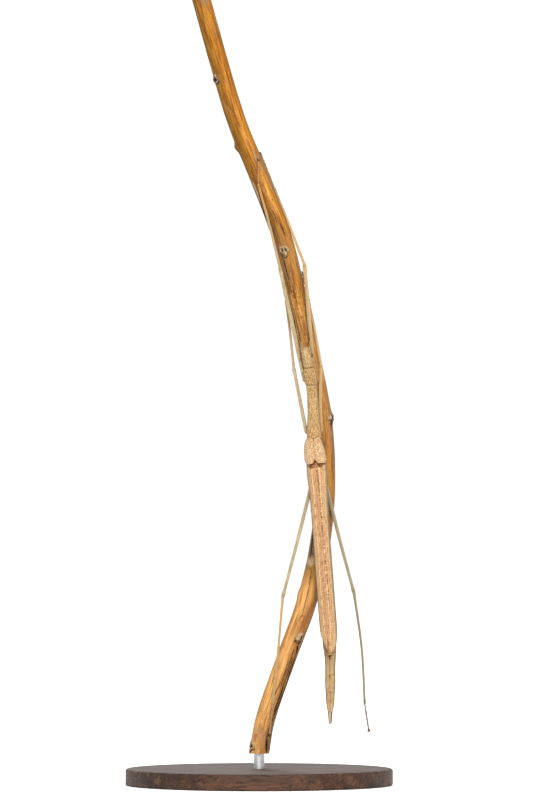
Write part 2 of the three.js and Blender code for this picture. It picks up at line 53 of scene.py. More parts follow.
class Finish:
    """The finish of one kind of surface: its gloss, its colours and its relief."""

    def __init__(self, name, **gloss):
        self.material = bpy.data.materials.new(name)
        self.material.use_nodes = True
        self.nodes = self.material.node_tree
        self.shader = self.nodes.nodes["Principled BSDF"]
        for socket, value in gloss.items():
            self.shader.inputs[socket.replace("_", " ")].default_value = value

    def add(self, kind, feeds=None, **settings):
        made = self.nodes.nodes.new("ShaderNode" + kind)
        for key, value in settings.items():
            setattr(made, key, value)
        for socket, value in (feeds or {}).items():
            if isinstance(value, bpy.types.NodeSocket):
                self.nodes.links.new(value, made.inputs[socket])
            else:
                made.inputs[socket].default_value = value
        return made

    def mark(self, name):
        """What was marked on the points of the piece under this name."""
        return self.add("Attribute", attribute_name=name).outputs["Fac"]

    def lay(self):
        """Place on the piece as if it were straightened: across, up, along, in mm."""
        return self.add("Attribute", attribute_name="lay").outputs["Vector"]

    def cloud(self, where, size, stretch=(1, 1, 1), detail=3, rough=0.55):
        """Cloudy noise whose lumps are of this size, in mm."""
        place = self.add("Mapping", {"Vector": where, "Scale": [k / size for k in stretch]})
        feeds = {"Vector": place.outputs[0], "Scale": 1, "Detail": detail, "Roughness": rough}
        return self.add("TexNoise", feeds).outputs["Fac"]

    def cells(self, where, size, stretch=(1, 1, 1), feature="F1"):
        """Distances within a mosaic of cells of this size, in mm."""
        place = self.add("Mapping", {"Vector": where, "Scale": [k / size for k in stretch]})
        feeds = {"Vector": place.outputs[0], "Scale": 1}
        return self.add("TexVoronoi", feeds, feature=feature).outputs["Distance"]

    def between(self, value, low, high, start=0.0, end=1.0):
        """start below low, end above high, and a soft step from one to the other."""
        feeds = {"Value": value, "From Min": low, "From Max": high, "To Min": start, "To Max": end}
        return self.add("MapRange", feeds, interpolation_type="SMOOTHSTEP").outputs["Result"]

    def broken(self, name, texture, low, high, start, end):
        """A mark of the piece, broken up by a texture."""
        feeds = {0: self.mark(name), 1: self.between(texture, low, high, start, end)}
        return self.add("Math", feeds, operation="MULTIPLY").outputs[0]

    def over(self, share, under, top, how="MIX"):
        feeds = {0: share, 6: under, 7: top}
        return self.add("Mix", feeds, data_type="RGBA", blend_type=how).outputs[2]

    def paint(self, coat, *layers):
        """The surface colour: a first coat, then (share, colour) layers over it. A
        share given as a name is that mark's; a third item says how to mix."""
        for share, card, *how in layers:
            top = tone(card) if isinstance(card, str) else card
            coat = self.over(self.mark(share) if isinstance(share, str) else share, coat, top, *how)
        self.set("Base Color", coat)

    def set(self, socket, value):
        self.nodes.links.new(value, self.shader.inputs[socket])

    def relief(self, *heights):
        """Relief from (height, depth in mm) pairs, the coarsest first."""
        normal = None
        for height, depth in heights:
            feeds = {"Height": height, "Distance": depth * MM, "Strength": 1}
            if normal:
                feeds["Normal"] = normal
            normal = self.add("Bump", feeds).outputs[0]
        self.set("Normal", normal)


def lofted(rings, marks):
    """Points, faces and marks of a skin through closed rings, capped at both ends."""
    rows, sides = rings.shape[:2]
    low = np.arange((rows - 1) * sides)
    turn = low // sides * sides
    ahead = turn + (low - turn + 1) % sides
    faces = np.stack([low, ahead, ahead + sides, low + sides], 1).tolist()
    faces += [list(range(sides))[::-1], list(range((rows - 1) * sides, rows * sides))]
    flat = {key: np.asarray(values).reshape(rows * sides, -1) for key, values in marks.items()}
    return rings.reshape(-1, 3), faces, flat


def make_piece(name, skins, finish, stands_for, crease=60):
    """One piece of one or more skins, riding on the model in its nodes' place."""
    points, faces, marks = [], [], {}
    for skin_points, skin_faces, skin_marks in skins:
        start = sum(len(p) for p in points)
        points.append(skin_points)
        faces += [[start + corner for corner in face] for face in skin_faces]
        for key, values in skin_marks.items():
            marks.setdefault(key, []).append(values)
    mesh = bpy.data.meshes.new(name)
    mesh.from_pydata((np.vstack(points) * MM).tolist(), [], faces)
    for key, values in marks.items():
        values = np.vstack(values)
        kind, field = ("FLOAT_VECTOR", "vector") if values.shape[1] == 3 else ("FLOAT", "value")
        layer = mesh.attributes.new(key, kind, "POINT")
        layer.data.foreach_set(field, values.astype(np.float32).ravel())
    shell = bmesh.new()
    shell.from_mesh(mesh)
    bmesh.ops.recalc_face_normals(shell, faces=shell.faces)
    shell.to_mesh(mesh)
    shell.free()
    mesh.shade_smooth()
    mesh.set_sharp_from_angle(angle=math.radians(crease))
    mesh.materials.append(finish.material)
    piece = bpy.data.objects.new(name, mesh)
    bpy.context.scene.collection.objects.link(piece)
    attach(piece, "root")
    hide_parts(*stands_for)


def turned(outline, sides):
    """A lathe-turned skin from (radius, height) pairs."""
    angle = np.linspace(0, 2 * math.pi, sides, endpoint=False)
    radius, height = (np.array(column, float)[:, None] for column in zip(*outline))
    rings = np.stack([radius * np.cos(angle), radius * np.sin(angle), height + 0 * angle], 2)
    return lofted(rings, {"lay": rings})


BASE_RADIUS, BASE_THICK, BASE_ROUND = 32, 4, 0.6
BASE_STEPS = 2, 12, 22, 30

base_outline = [(step, 0) for step in BASE_STEPS]
quarter = [(BASE_ROUND * math.sin(a), BASE_ROUND * (1 - math.cos(a))) for a in np.radians(range(0, 91, 15))]
base_outline += [(BASE_RADIUS - BASE_ROUND + out, risen) for out, risen in quarter]
base_outline += [(BASE_RADIUS - back, BASE_THICK - BASE_ROUND + risen) for risen, back in quarter]
base_outline += [(step, BASE_THICK) for step in BASE_STEPS[::-1]]

walnut = Finish("oiled_walnut", Roughness=0.6, Specular_IOR_Level=0.22)
where = walnut.lay()
figure = walnut.cloud(where, 9, (0.22, 1, 0.5), detail=2)
grain = walnut.cloud(where, 1.5, (0.035, 1, 0.6), detail=4, rough=0.6)
pores = walnut.cloud(where, 0.36, (0.06, 1, 0.6), detail=2)
walnut.paint(
    walnut.over(walnut.between(figure, 0.35, 0.65), tone("2c1a11"), tone("3d2618")),
    (walnut.between(grain, 0.5, 0.64, 0, 0.7), "533623"),
    (walnut.between(grain, 0.47, 0.36, 0, 0.6), "20120b"),
    (walnut.between(pores, 0.56, 0.66, 0, 0.7), "150c07"),
)
walnut.set("Roughness", walnut.between(pores, 0.4, 0.7, 0.52, 0.75))
walnut.relief((grain, 0.04), (pores, -0.05))
make_piece("stand_base_disc", [turned(base_outline, 160)], walnut, ["stand_base"], crease=80)

# ---- Display rod ---------------------------------------------------------
# A short brushed steel rod, pressed into the middle of the disc and up into
# the foot of the branch.
ROD_RADIUS, ROD_FOOT, ROD_TOP = 1.3, 4, 7.6
ROD_CAP = ROD_RADIUS * 0.3

steel = Finish("brushed_steel", Metallic=1, Roughness=0.3)
turning = steel.cloud(steel.lay(), 0.5, (0.1, 0.1, 6), detail=2)
steel.paint(steel.over(turning, tone("a9abae"), tone("d8d9da")))
steel.set("Roughness", steel.between(turning, 0.3, 0.7, 0.24, 0.42))
steel.relief((turning, 0.01))
rod_heights = [ROD_FOOT + (ROD_TOP - ROD_FOOT) * share for share in (0, 0.05, 0.35, 0.65, 0.95, 1)]
rod_outline = [(ROD_CAP, ROD_FOOT), *((ROD_RADIUS, height) for height in rod_heights), (ROD_CAP, ROD_TOP)]
make_piece("stand_rod_pin", [turned(rod_outline, 48)], steel, ["stand_rod"])

# ---- Branch --------------------------------------------------------------
# A dead twig, bleached by sunlight and sawn off at both ends: orange and
# golden bark in front, with painted shade that makes it duller on its rims and
# behind, and a painted highlight low down on its left. It has knots where side
# shoots broke off, long dry fissures and grey weathered patches.
BRANCH_COURSE = [
    [0, 0, 7.6], [1.45, 0, 15.75], [6.35, 0, 30.1], [11.5, 0, 44.4], [14.7, 0, 58.7],
    [15.75, 0, 73], [15, 0, 87.4], [12.4, 0, 101.7], [9.15, 0, 116], [5.7, 0, 130.3],
    [0.35, 0.3, 144.6], [-5.45, 0.9, 159], [-9.75, 1.5, 173.3], [-14.1, 2.2, 189],
]
BRANCH_RADII = [7.6, 80, 189], [2.36, 2.45, 2.18]
BRANCH_ROWS, BRANCH_SIDES = 1000, 96
# the usual radius, which turns a bearing into mm round the branch
TWIG = 2.4
# how far from each end the saw cut squares the rings
SAWN = 4
# broken-off shoots: height, bearing round the branch (0 in front, 90 to the
# right), how far they stand out, half their size, how hollow, how cracked
KNOTS = [
    (169.3, -58, 0.4, 1.15, 1.6, 0.7),
    (153.5, -88, 0.5, 0.75, 0, 0),
    (127.9, -11, 0.3, 1.25, 0.05, 0),
    (87.7, 60, 0.75, 1.05, 0.9, 0.8),
    (45.3, -88, 0.25, 1.1, 0, 0),
    (35.9, 31, 0.4, 1.1, 0.05, 0),
    (9.3, -60, 0.35, 1.2, 1.2, 0.4),
]


class Line:
    """A smooth line through a few points, measured along its length in mm."""

    # points on the run from one given point to the next, and how far before
    # and after a place the line is read for its heading
    STEPS, NEAR = 80, 0.02

    def __init__(self, marks):
        marks = np.asarray(marks, float)
        wide = np.vstack([2 * marks[0] - marks[1], marks, 2 * marks[-1] - marks[-2]])
        t = np.linspace(0, 1, self.STEPS, endpoint=False)[:, None]
        runs = []
        for a, b, c, d in zip(wide, wide[1:], wide[2:], wide[3:]):
            ab, bc, cd = (math.sqrt(np.linalg.norm(q - p)) for p, q in ((a, b), (b, c), (c, d)))
            leave = ((b - a) / ab - (c - a) / (ab + bc) + (c - b) / bc) * bc
            arrive = ((c - b) / bc - (d - b) / (bc + cd) + (d - c) / cd) * bc
            square, cube = 3 * (c - b) - 2 * leave - arrive, 2 * (b - c) + leave + arrive
            runs.append(b + t * leave + t**2 * square + t**3 * cube)
        self.run = np.vstack([*runs, marks[-1:]])
        steps = np.linalg.norm(np.diff(self.run, axis=0), axis=1)
        self.gone = np.concatenate([[0], np.cumsum(steps)])
        self.length = self.gone[-1]

    def on_line(self, at):
        return np.stack([np.interp(at, self.gone, self.run[:, k]) for k in range(3)], -1)

    def place(self, at):
        """Points at these lengths; past either end the line runs on straight."""
        at = np.asarray(at, float)
        held = np.clip(at, 0, self.length)
        return self.on_line(held) + (at - held)[..., None] * self.heading(held)

    def heading(self, at):
        at = np.clip(np.asarray(at, float), self.NEAR, self.length - self.NEAR)
        step = self.on_line(at + self.NEAR) - self.on_line(at - self.NEAR)
        return step / np.linalg.norm(step, axis=-1, keepdims=True)


def cross_axes(heading, lean):
    """Two crosswise directions: up, as near to lean as can be, and aside."""
    up = lean - (heading @ lean)[..., None] * heading
    up /= np.linalg.norm(up, axis=-1, keepdims=True)
    return up, np.cross(up, heading)


def ripple(points, size, seed=0.0):
    """Smooth irregularity over points, about -1 to 1."""
    spots = (points / size + seed).reshape(-1, 3).tolist()
    return np.array([noise.noise(spot) for spot in spots]).reshape(points.shape[:-1])


def soft(value, low, high):
    """0 below low, 1 above high, with a soft step between."""
    share = np.clip((value - low) / (high - low), 0, 1)
    return share * share * (3 - 2 * share)


def stripe(value, middle, wide, fade=0.6):
    """1 on a line of this width, fading to 0 beside it."""
    away = np.abs(value - middle)
    return 1 - soft(away, wide * (1 - fade) / 2, wide * (1 + fade) / 2)


def hump(value, middle, wide):
    """A smooth bell of this half width, 1 at its middle."""
    return np.exp(-(((value - middle) / wide) ** 2))


def clipped(**marks):
    return {name: np.clip(value, 0, 1) for name, value in marks.items()}


branch_line = Line(BRANCH_COURSE)
run = np.linspace(0, branch_line.length, BRANCH_ROWS)
centre, heading = branch_line.place(run), branch_line.heading(run)
up, aside = cross_axes(heading, np.array([0, -1.0, 0]))
bearing = np.linspace(-180, 180, BRANCH_SIDES, endpoint=False)
turn = np.radians(bearing)
height, around, front, right = np.broadcast_arrays(centre[:, 2:], turn * TWIG, np.cos(turn), np.sin(turn))
spot = np.stack([TWIG * right, TWIG * front, height], -1)
wander = ripple(spot * [1, 1, 0.35], 1.6)
fibre = ripple(spot * [1, 1, 0.06], 0.32, 7)
grit = ripple(spot, 0.45, 3)


def off(z, at, tall, wide):
    """How far each point of the bark lies from a place, in half sizes."""
    turned_by = (bearing - at + 180) % 360 - 180
    return (height - z) / tall, np.radians(turned_by) * TWIG / wide


def patch(z, at, tall, wide, ragged=0.35):
    """A ragged patch on the bark: 1 inside, 0 outside."""
    along, across = off(z, at, tall, wide)
    return 1 - soft(np.hypot(along, across) + ragged * grit + ragged * wander, 0.65, 1.15)


def crack(course, width):
    """A crack through (height, bearing) places, tapering at its ends: 1 along
    it, 0 away from it."""
    zs, ats = np.array(sorted(course)).T
    middle = np.interp(height, zs, np.radians(ats) * TWIG) + 0.22 * wander + 0.08 * grit
    ends = np.minimum(height - zs[0], zs[-1] - height)
    taper = min(1.6, 0.4 * (zs[-1] - zs[0]))
    uneven = 0.55 + 0.45 * ripple(spot * [0, 0, 1], 2.2, 11)
    wide = width * uneven * soft(ends, -0.12 * taper, taper)
    return (ends > 0) * (1 - soft(np.abs(around - middle), wide * 0.5, wide + 0.12))


# a knot is a ring of lips round a hollow that tears open like a star, with a
# painted shadow along its lower edge and a grey scar round it, fainter low
# down; one whose hollow is 0.1 or less is grown over, and one of 0 is a bare
# swelling with no painted shadow
swell = 0.05 * wander + 0.035 * fibre
hole_and_shadow, lip, scar = (np.zeros(height.shape) for _ in range(3))
for z, at, rise, reach, hollow, torn in KNOTS:
    open_knot = hollow > 0.1
    along, across = off(z, at, reach, reach * 0.92)
    angle = np.arctan2(along, across)
    lobes = 0.13 * np.cos(3 * angle + z) + 0.1 * np.cos(5 * angle + 2 * z)
    away = np.hypot(along, across) * (1 + lobes + 0.12 * grit)
    swell = swell + rise * hump(away, 0, 1.05)
    ray = np.abs(np.sin(1.5 * angle + z + 0.9 * away + 0.7 * wander)) + 0.25 * grit
    star = (1 - soft(ray, 0.18, 0.6)) * soft(away, 0.1, 0.25) * (1 - soft(away, 0.6, 0.95))
    pit = (1 - soft(away / max(hollow, 1), 0.2, 0.45)) * open_knot
    lobe = (1 - pit) * np.maximum(soft(away, 0.25, 0.45), not open_knot) * (1 - soft(away, 0.78, 1.0))
    # painted shadow under the knot: a dark arc along its lower edge
    under = stripe(away + 0.1 * grit, 1.0, 0.32, 0.5) * soft(-along, 0.1, 0.7) * soft(grit, -1.0, -0.3)
    if hollow:
        depth = min(hollow, 1)
        swell = swell + 0.14 * lobe * (1 - star) - 0.35 * depth * pit - 0.16 * torn * star
        lip = np.maximum(lip, lobe * (1 - star))
        hole_and_shadow = np.maximum.reduce([hole_and_shadow, depth * pit, torn * star, (0.95 if open_knot else 0.6) * under])
    strength = (0.9 if hollow else 0.5) * (1 if z > 60 else 0.55)
    scar = np.maximum(scar, (1 - soft(away, 0.85, 1.7)) * strength)

# (height, bearing) places along each crack, and its width
CRACKS = [
    ([(34.8, 40), (32.6, 52), (30.3, 56), (27.9, 60), (25.1, 66), (22.7, 66), (20, 64), (17.2, 52)], 0.45),
    ([(31, 38), (27, 44), (22, 44), (18, 36)], 0.2),
    ([(30.3, 17), (26.6, 20), (23, 11), (20.5, 3)], 0.07),
    ([(24, 50), (16, 44), (11.8, 34)], 0.2),
    ([(33, 30), (28, 28), (24, 26)], 0.08),
    ([(12.2, 36), (11, 38), (8.8, 44), (7.6, 48)], 0.55),
    ([(118, -58), (112, -56), (105.6, -63)], 0.2),
    ([(107, -42), (105, -40)], 0.2),
    ([(106, 14), (104, 8)], 0.16),
    ([(134, 18), (131, 21)], 0.1),
    ([(137.5, 2), (134.4, 6)], 0.08),
    ([(101.8, 50), (99, 52)], 0.2),
    ([(127, -30), (121, -24)], 0.16),
    ([(60, -58), (55, -52), (53.5, -44)], 0.4),
    ([(52, -20), (46, -8), (40, -2)], 0.07),
    ([(86.9, 66), (85.2, 60)], 0.3),
    ([(171.5, -72), (168, -70)], 0.22),
    # across the two knots in front
    ([(128.7, -16), (127.4, -20)], 0.34),
    ([(128.7, -4), (127.9, -1), (127.3, 8)], 0.3),
    ([(127.75, -37), (127.3, -28), (127, -18), (126.7, -6)], 0.36),
    ([(127, -33), (126.4, -22), (126.05, -12)], 0.32),
    ([(126.1, -12), (126.7, 6)], 0.3),
    ([(36.4, 36), (35.4, 42)], 0.32),
    ([(36.6, 46), (36, 58), (35.4, 70)], 0.32),
    ([(35.4, 48), (34.6, 37)], 0.3),
    ([(35.1, 8), (34.7, 18), (34.3, 28)], 0.32),
    ([(34.3, 28), (34.9, 60)], 0.6),
]
# pale threads of bare wood: the same, and how strongly each shows
THREADS = [
    ([(163, -30), (161, -14), (160.2, -2)], 0.1, 0.3),
    ([(127, 28), (120, 40)], 0.12, 0.45),
    ([(34, 72), (27, 78), (18, 76)], 0.3, 0.9),
    ([(156, 20), (148, 34), (140, 52)], 0.12, 0.4),
]
# coloured patches: strength, height, bearing, half height, half width, and
# how ragged, where it isn't 0.35
PATCHES = {
    "gold": [
        (0.1, 74, 40, 12, 1.5, 0.7), (0.35, 112, 14, 9, 0.9, 0.7), (0.75, 101.5, 30, 7.5, 2.2, 0.5),
        (0.6, 143, 8, 3.6, 0.8), (0.4, 139, 15, 3, 0.8), (0.5, 108, -14, 10, 1.8, 0.6),
        (0.15, 162, 14, 9, 0.7, 0.6), (0.5, 111, -34, 9, 1.5, 0.6), (-0.5, 38, 8, 3, 1.1),
    ],
    "dull": [(0.45, 122.5, 62, 5, 1.1, 0.6), (0.3, 88, 62, 9, 1.2, 0.7), (0.12, 131, 4, 3, 1.6, 0.9)],
    "grey": [
        (0.75, 187, 22, 3.4, 1.2, 0.8), (0.22, 180, 28, 4, 0.7, 1), (0.3, 122, -14, 5.5, 1.1, 0.9),
        (0.9, 57.2, -55, 3.6, 1.5, 0.5), (0.55, 149.4, 38, 3.2, 0.9, 0.8), (0.4, 145, 62, 6, 0.6, 0.8),
        (0.6, 142, -60, 2.8, 0.6, 0.5), (0.4, 86, 50, 4, 1, 0.9), (0.1, 92, 46, 7, 1.5, 0.7),
        (0.35, 12, 10, 2, 1.6, 1),
    ],
    "pale": [
        (0.85, 143.2, -56, 2.3, 0.34, 0.2), (0.8, 141, -60, 0.5, 0.3), (0.7, 53.3, -40, 1.3, 1.5, 0.3),
        (0.35, 110, -70, 6, 0.4),
    ],
    "rust": [
        (0.7, 152.4, 18, 1.6, 0.5, 0.5), (0.6, 135.5, 18, 1.2, 0.3, 0.5), (0.7, 129.4, -38, 0.7, 0.5),
        (0.5, 83, 48, 6, 1, 0.6), (0.6, 11.4, -42, 1.2, 0.8), (0.5, 26, 38, 8, 0.6, 0.8),
        (0.4, 174, 10, 6, 0.5, 0.9), (0.3, 66, 40, 5, 0.9), (0.25, 92, 58, 6, 1.1, 0.8),
        (0.45, 39.5, 16, 3.4, 1, 0.8), (0.55, 10.5, 6, 3.4, 2.1, 0.6),
    ],
    "dark": [
        # the patch at 66.2 mm height, bearing 44, is a painted shadow in the gap between the abdomen and the
        # right hind thigh
        (0.9, 139.6, 23, 0.2, 0.2, 0.1), (0.85, 137.5, -72, 2.4, 0.7, 0.4), (0.75, 66.2, 44, 2.2, 0.5, 0.3),
        (0.6, 86.4, 56, 0.7, 0.5), (0.6, 57.6, -56, 3, 0.7, 1.2),
    ],
}

split = np.maximum.reduce([crack(course, width) for course, width in CRACKS])
swell = swell - 0.14 * split
patches = {name: sum(strength * patch(*place) for strength, *place in rows) for name, rows in PATCHES.items()}

# golden low down on the left with a painted highlight over it, orange to the
# right and olive to the left, the olive partly painted shade, and painted shade
# in dull olive round the rims and behind
low_part = soft(52 - height, -2, 8)
masks = {
    "gold": patches["gold"] + low_part * soft(-right + 0.25 * wander, -0.7, 0.1),
    # a painted highlight down the lower left side
    "painted_highlight": 0.75 * low_part * soft(-right + 0.2 * wander, 0.0, 0.5) * (1 - soft(-right, 0.84, 0.96)),
    # dull patches, and painted shade round the rims and behind, where the bark turns away from the front
    "dull": patches["dull"] + soft(0.1 * grit - front, -0.32, 0.15) * (1 - 0.5 * soft(-front, 0.3, 0.7)),
    "rust": patches["rust"],
}
# orange to the right and olive on the left third; the olive is partly painted shade
warm = soft(right + 0.3 * wander, -0.55, 0.3)
warm = warm * (1 - 0.75 * patch(112, -12, 12, 1.5, 0.5)) * (1 - 0.5 * patch(74, 60, 9, 1, 0.8))
masks["warm"] = np.maximum(warm, low_part * 0.8)
scarred = 0.7 * scar * soft(grit, -0.9, 0.2)
masks["grey"] = patches["grey"] + scarred + 0.45 * low_part * soft(right, 0.55, 0.9)
bleached = 0.12 * soft(142 - height, 0, 18) * soft(np.abs(height - 111), 8, 14)
threads = sum(strength * crack(course, width) for course, width, strength in THREADS)
masks["pale"] = patches["pale"] + threads + 0.9 * lip + bleached
eyelet = 0.4 * stripe(np.hypot(*off(39.9, 5, 0.75, 0.6)), 1, 0.32, 0.5)
# cracks, hollows, dark patches and the painted shadows under knots, with painted shade along the right rim
# low down
masks["dark"] = patches["dark"] + np.maximum(split, hole_and_shadow) + eyelet + 0.3 * low_part * soft(right, 0.84, 0.97)

radius = np.interp(centre[:, 2], *BRANCH_RADII)[:, None] + swell
offset = radius[..., None] * (up[:, None] * np.cos(turn)[:, None] - aside[:, None] * np.sin(turn)[:, None])
ends = soft(SAWN - np.minimum(run, branch_line.length - run), 0, SAWN)
sawn = -(offset[..., 2] / heading[:, None, 2]) * ends[:, None]
rings = centre[:, None] + offset + sawn[..., None] * heading[:, None]
marks = {"lay": np.stack([radius * right, radius * front, height], -1)} | clipped(**masks)

bark = Finish("bleached_bark", Roughness=0.78, Specular_IOR_Level=0.12)
where = bark.lay()
strands = bark.cloud(where, 0.36, (1, 1, 0.05), detail=4, rough=0.6)
wisps = bark.cloud(where, 0.2, (1, 1, 0.07), detail=3)
streaks = bark.cloud(where, 1.3, (1, 1, 0.07), detail=3)
mottle = bark.cloud(where, 1.3, (1, 1, 0.4), detail=4)
specks = bark.cloud(where, 0.26, (1, 1, 0.5), detail=2)
bark.paint(
    # orange where the warm mark is and olive elsewhere; the olive on the left is partly painted shade
    bark.over(bark.mark("warm"), tone("6a4208"), tone("935c15")),
    (bark.broken("gold", streaks, 0.3, 0.55, 0.75, 1), "b9854c"),
    # painted highlight: a warm glow screened over the lower left side
    (bark.broken("painted_highlight", streaks, 0.35, 0.55, 0.5, 1), "4e3c12", "SCREEN"),
    (bark.between(streaks, 0.46, 0.6, 0, 0.7), "382508", "SCREEN"),
    (bark.between(streaks, 0.48, 0.38, 0, 0.6), "c9bb9a", "MULTIPLY"),
    (bark.between(strands, 0.52, 0.62, 0, 0.8), "4c3816", "SCREEN"),
    (bark.between(strands, 0.48, 0.38, 0, 0.85), "b3a182", "MULTIPLY"),
    (bark.between(wisps, 0.53, 0.66, 0, 0.6), "4c3a1c", "SCREEN"),
    (bark.between(wisps, 0.46, 0.34, 0, 0.6), "ad9b7a", "MULTIPLY"),
    (bark.between(mottle, 0.52, 0.7, 0, 0.3), "785526"),
    (bark.broken("rust", strands, 0.35, 0.6, 0.4, 0.9), "74391f"),
    (bark.broken("grey", specks, 0.38, 0.56, 0.3, 0.95), "6b5d4e"),
    # dull olive: dull patches and the painted shade on the rims and behind
    (bark.broken("dull", wisps, 0.35, 0.6, 0.55, 0.95), "544a34"),
    (bark.between(specks, 0.6, 0.7, 0, 0.4), "4a2f14"),
    (bark.broken("pale", specks, 0.3, 0.5, 0.7, 1), "957f61"),
    # dark: cracks, hollows and dark patches, with painted shadows under the knots and beside the abdomen and
    # painted shade on the lower right rim
    ("dark", "1a1006"),
)
bark.set("Roughness", bark.between(mottle, 0.35, 0.65, 0.65, 0.85))
bark.relief((streaks, 0.1), (strands, 0.14), (wisps, 0.06), (specks, 0.05))
make_piece("branch_bark", [lofted(rings, marks)], bark, ["perch_branch"], crease=70)

# ---- Thorax --------------------------------------------------------------
# Three hard rings of straw-coloured cuticle: the short front ring, the long
# middle ring and the wing-bearing hind ring. Each is granular, has a fine
# keel down its back and rolled rims where it meets its neighbour.
BODY_AXIS = [
    [10.93, -4.9, 104.72], [11.89, -4.8, 99.78], [12.7, -4.7, 93.33], [13.15, -4.7, 83.31],
    [13.87, -4.9, 74.24], [15.16, -5, 55.86], [15.99, -5, 44.4], [16.9, -4.9, 32.22],
    [16.95, -4.8, 25.78], [16.95, -4.6, 14.9],
]
BODY_LENGTH = 90
# the body is rolled a little to its left, so the back faces this way
BODY_ROLL = math.radians(7)
BACK = np.array([-math.sin(BODY_ROLL), -math.cos(BODY_ROLL), 0])
# distance along the body, half width, height to the back, depth to the belly
PROTHORAX = [
    [5.02, 1.2, 0.92, 0.95], [5.35, 1.34, 1.04, 1.05], [6.5, 1.48, 1.1, 1.1], [7.1, 1.4, 1.0, 1.1],
    [7.7, 1.5, 1.1, 1.12], [8.85, 1.45, 1.1, 1.12], [9.13, 1.3, 1, 1.05],
]
MESOTHORAX = [
    [9.17, 1.2, 0.98, 1], [9.55, 1.28, 1.08, 1.1], [13.15, 1.34, 1.14, 1.15],
    [17.15, 1.48, 1.22, 1.25], [20.15, 1.74, 1.36, 1.4], [21.88, 1.86, 1.42, 1.42],
]
METATHORAX = [
    [21.92, 1.38, 1.1, 1.36], [23.9, 1.5, 1.2, 1.4], [26.9, 1.66, 1.26, 1.42], [30.58, 1.7, 1.24, 1.32],
]
# pits in the front ring: distance along the body, distance aside, half size
PRONOTUM_PITS = [
    (5.8, 0.95, 0.22), (6.4, 0.5, 0.24), (7.1, 0.78, 0.22),
    (7.3, 0.08, 0.3), (8.0, 0.45, 0.22), (8.55, 0.95, 0.22),
]

body_line = Line(BODY_AXIS)


def body_frame(distance):
    """The body's middle, its way up and its way aside at these distances."""
    at = np.asarray(distance, float) / BODY_LENGTH * body_line.length
    heading = body_line.heading(at)
    up, aside = cross_axes(heading, BACK)
    return body_line.place(at), up, aside


def body_point(distance, across, rise):
    """A place on the body: along it, across to the right, up to the back."""
    centre, up, aside = body_frame(distance)
    return centre + across * aside + rise * up


def eased(rows, at):
    """The columns of a table of sizes, read smoothly between its rows."""
    rows = np.asarray(rows, float)
    x, y = rows[:, 0], rows[:, 1:]
    slope = np.diff(y, axis=0) / np.diff(x)[:, None]
    both = slope[:-1] * slope[1:]
    middle = np.where(both > 0, 2 * both / np.where(both > 0, slope[:-1] + slope[1:], 1), 0)
    bend = np.vstack([slope[:1], middle, slope[-1:]])
    i = np.clip(np.searchsorted(x, at, side="right") - 1, 0, len(x) - 2)
    h = (x[i + 1] - x[i])[:, None]
    t = np.clip((np.asarray(at) - x[i]) / h[:, 0], 0, 1)[:, None]
    start = (1 + 2 * t) * (1 - t) ** 2 * y[i] + t * (1 - t) ** 2 * h * bend[i]
    return start + t * t * (3 - 2 * t) * y[i + 1] + t * t * (t - 1) * h * bend[i + 1]


def squareness(x, y, power=2.2):
    """How far a rounded square reaches past the circle in each direction."""
    return (np.abs(x) ** power + np.abs(y) ** power) ** (-1 / power)


def crossways(centre, up, aside, across, rise):
    """Rings of points beside a line, from how far across and up each lies."""
    return centre[:, None] + across[..., None] * aside[:, None] + rise[..., None] * up[:, None]


def straightened(across, rise, along):
    """Each point's place on its piece as if the piece were straight."""
    return np.stack(np.broadcast_arrays(across, rise, along[:, None]), -1)


def shell_of(rows, sculpt, step=0.11, sides=80, rim=0.07):
    """A ring of cuticle through rows of sizes. sculpt gives the height and
    the marks at each distance and each angle from the middle of the back."""
    first, last = rows[0][0], rows[-1][0]
    near = rim * (1 - np.cos(np.linspace(0, math.pi / 2, 6)))
    between = np.arange(first + rim + step, last - rim - step / 2, step)
    d = np.concatenate([first + near, between, last - near[::-1]])
    width, top, bottom = eased(rows, d).T[:, :, None]
    to_end = np.clip(np.minimum(d - first, last - d) / rim, 0, 1)[:, None]
    rolled_in = 0.8 * rim * (1 - np.sqrt(1 - (1 - to_end) ** 2))
    degrees = np.linspace(-180, 180, sides, endpoint=False)
    x, y = np.sin(np.radians(degrees)), np.cos(np.radians(degrees))
    swell = squareness(x, y)
    across, rise = width * x * swell, np.where(y > 0, top, bottom) * y * swell
    lay = straightened(across, rise, d)
    lift, marks = sculpt(lay[..., 2], np.broadcast_to(degrees, across.shape), lay)
    grow = 1 + (lift - rolled_in) / np.hypot(across, rise)
    # painted shade: every shell grows duller down its flanks and underneath, unless its sculpt says otherwise
    full = {"dull": soft(np.abs(degrees), 44, 76), "dark": 0, "pale": 0, "ruddy": 0} | marks
    spread = {key: np.broadcast_to(value, across.shape) for key, value in full.items()}
    return lofted(crossways(*body_frame(d), across * grow, rise * grow), {"lay": lay} | spread)


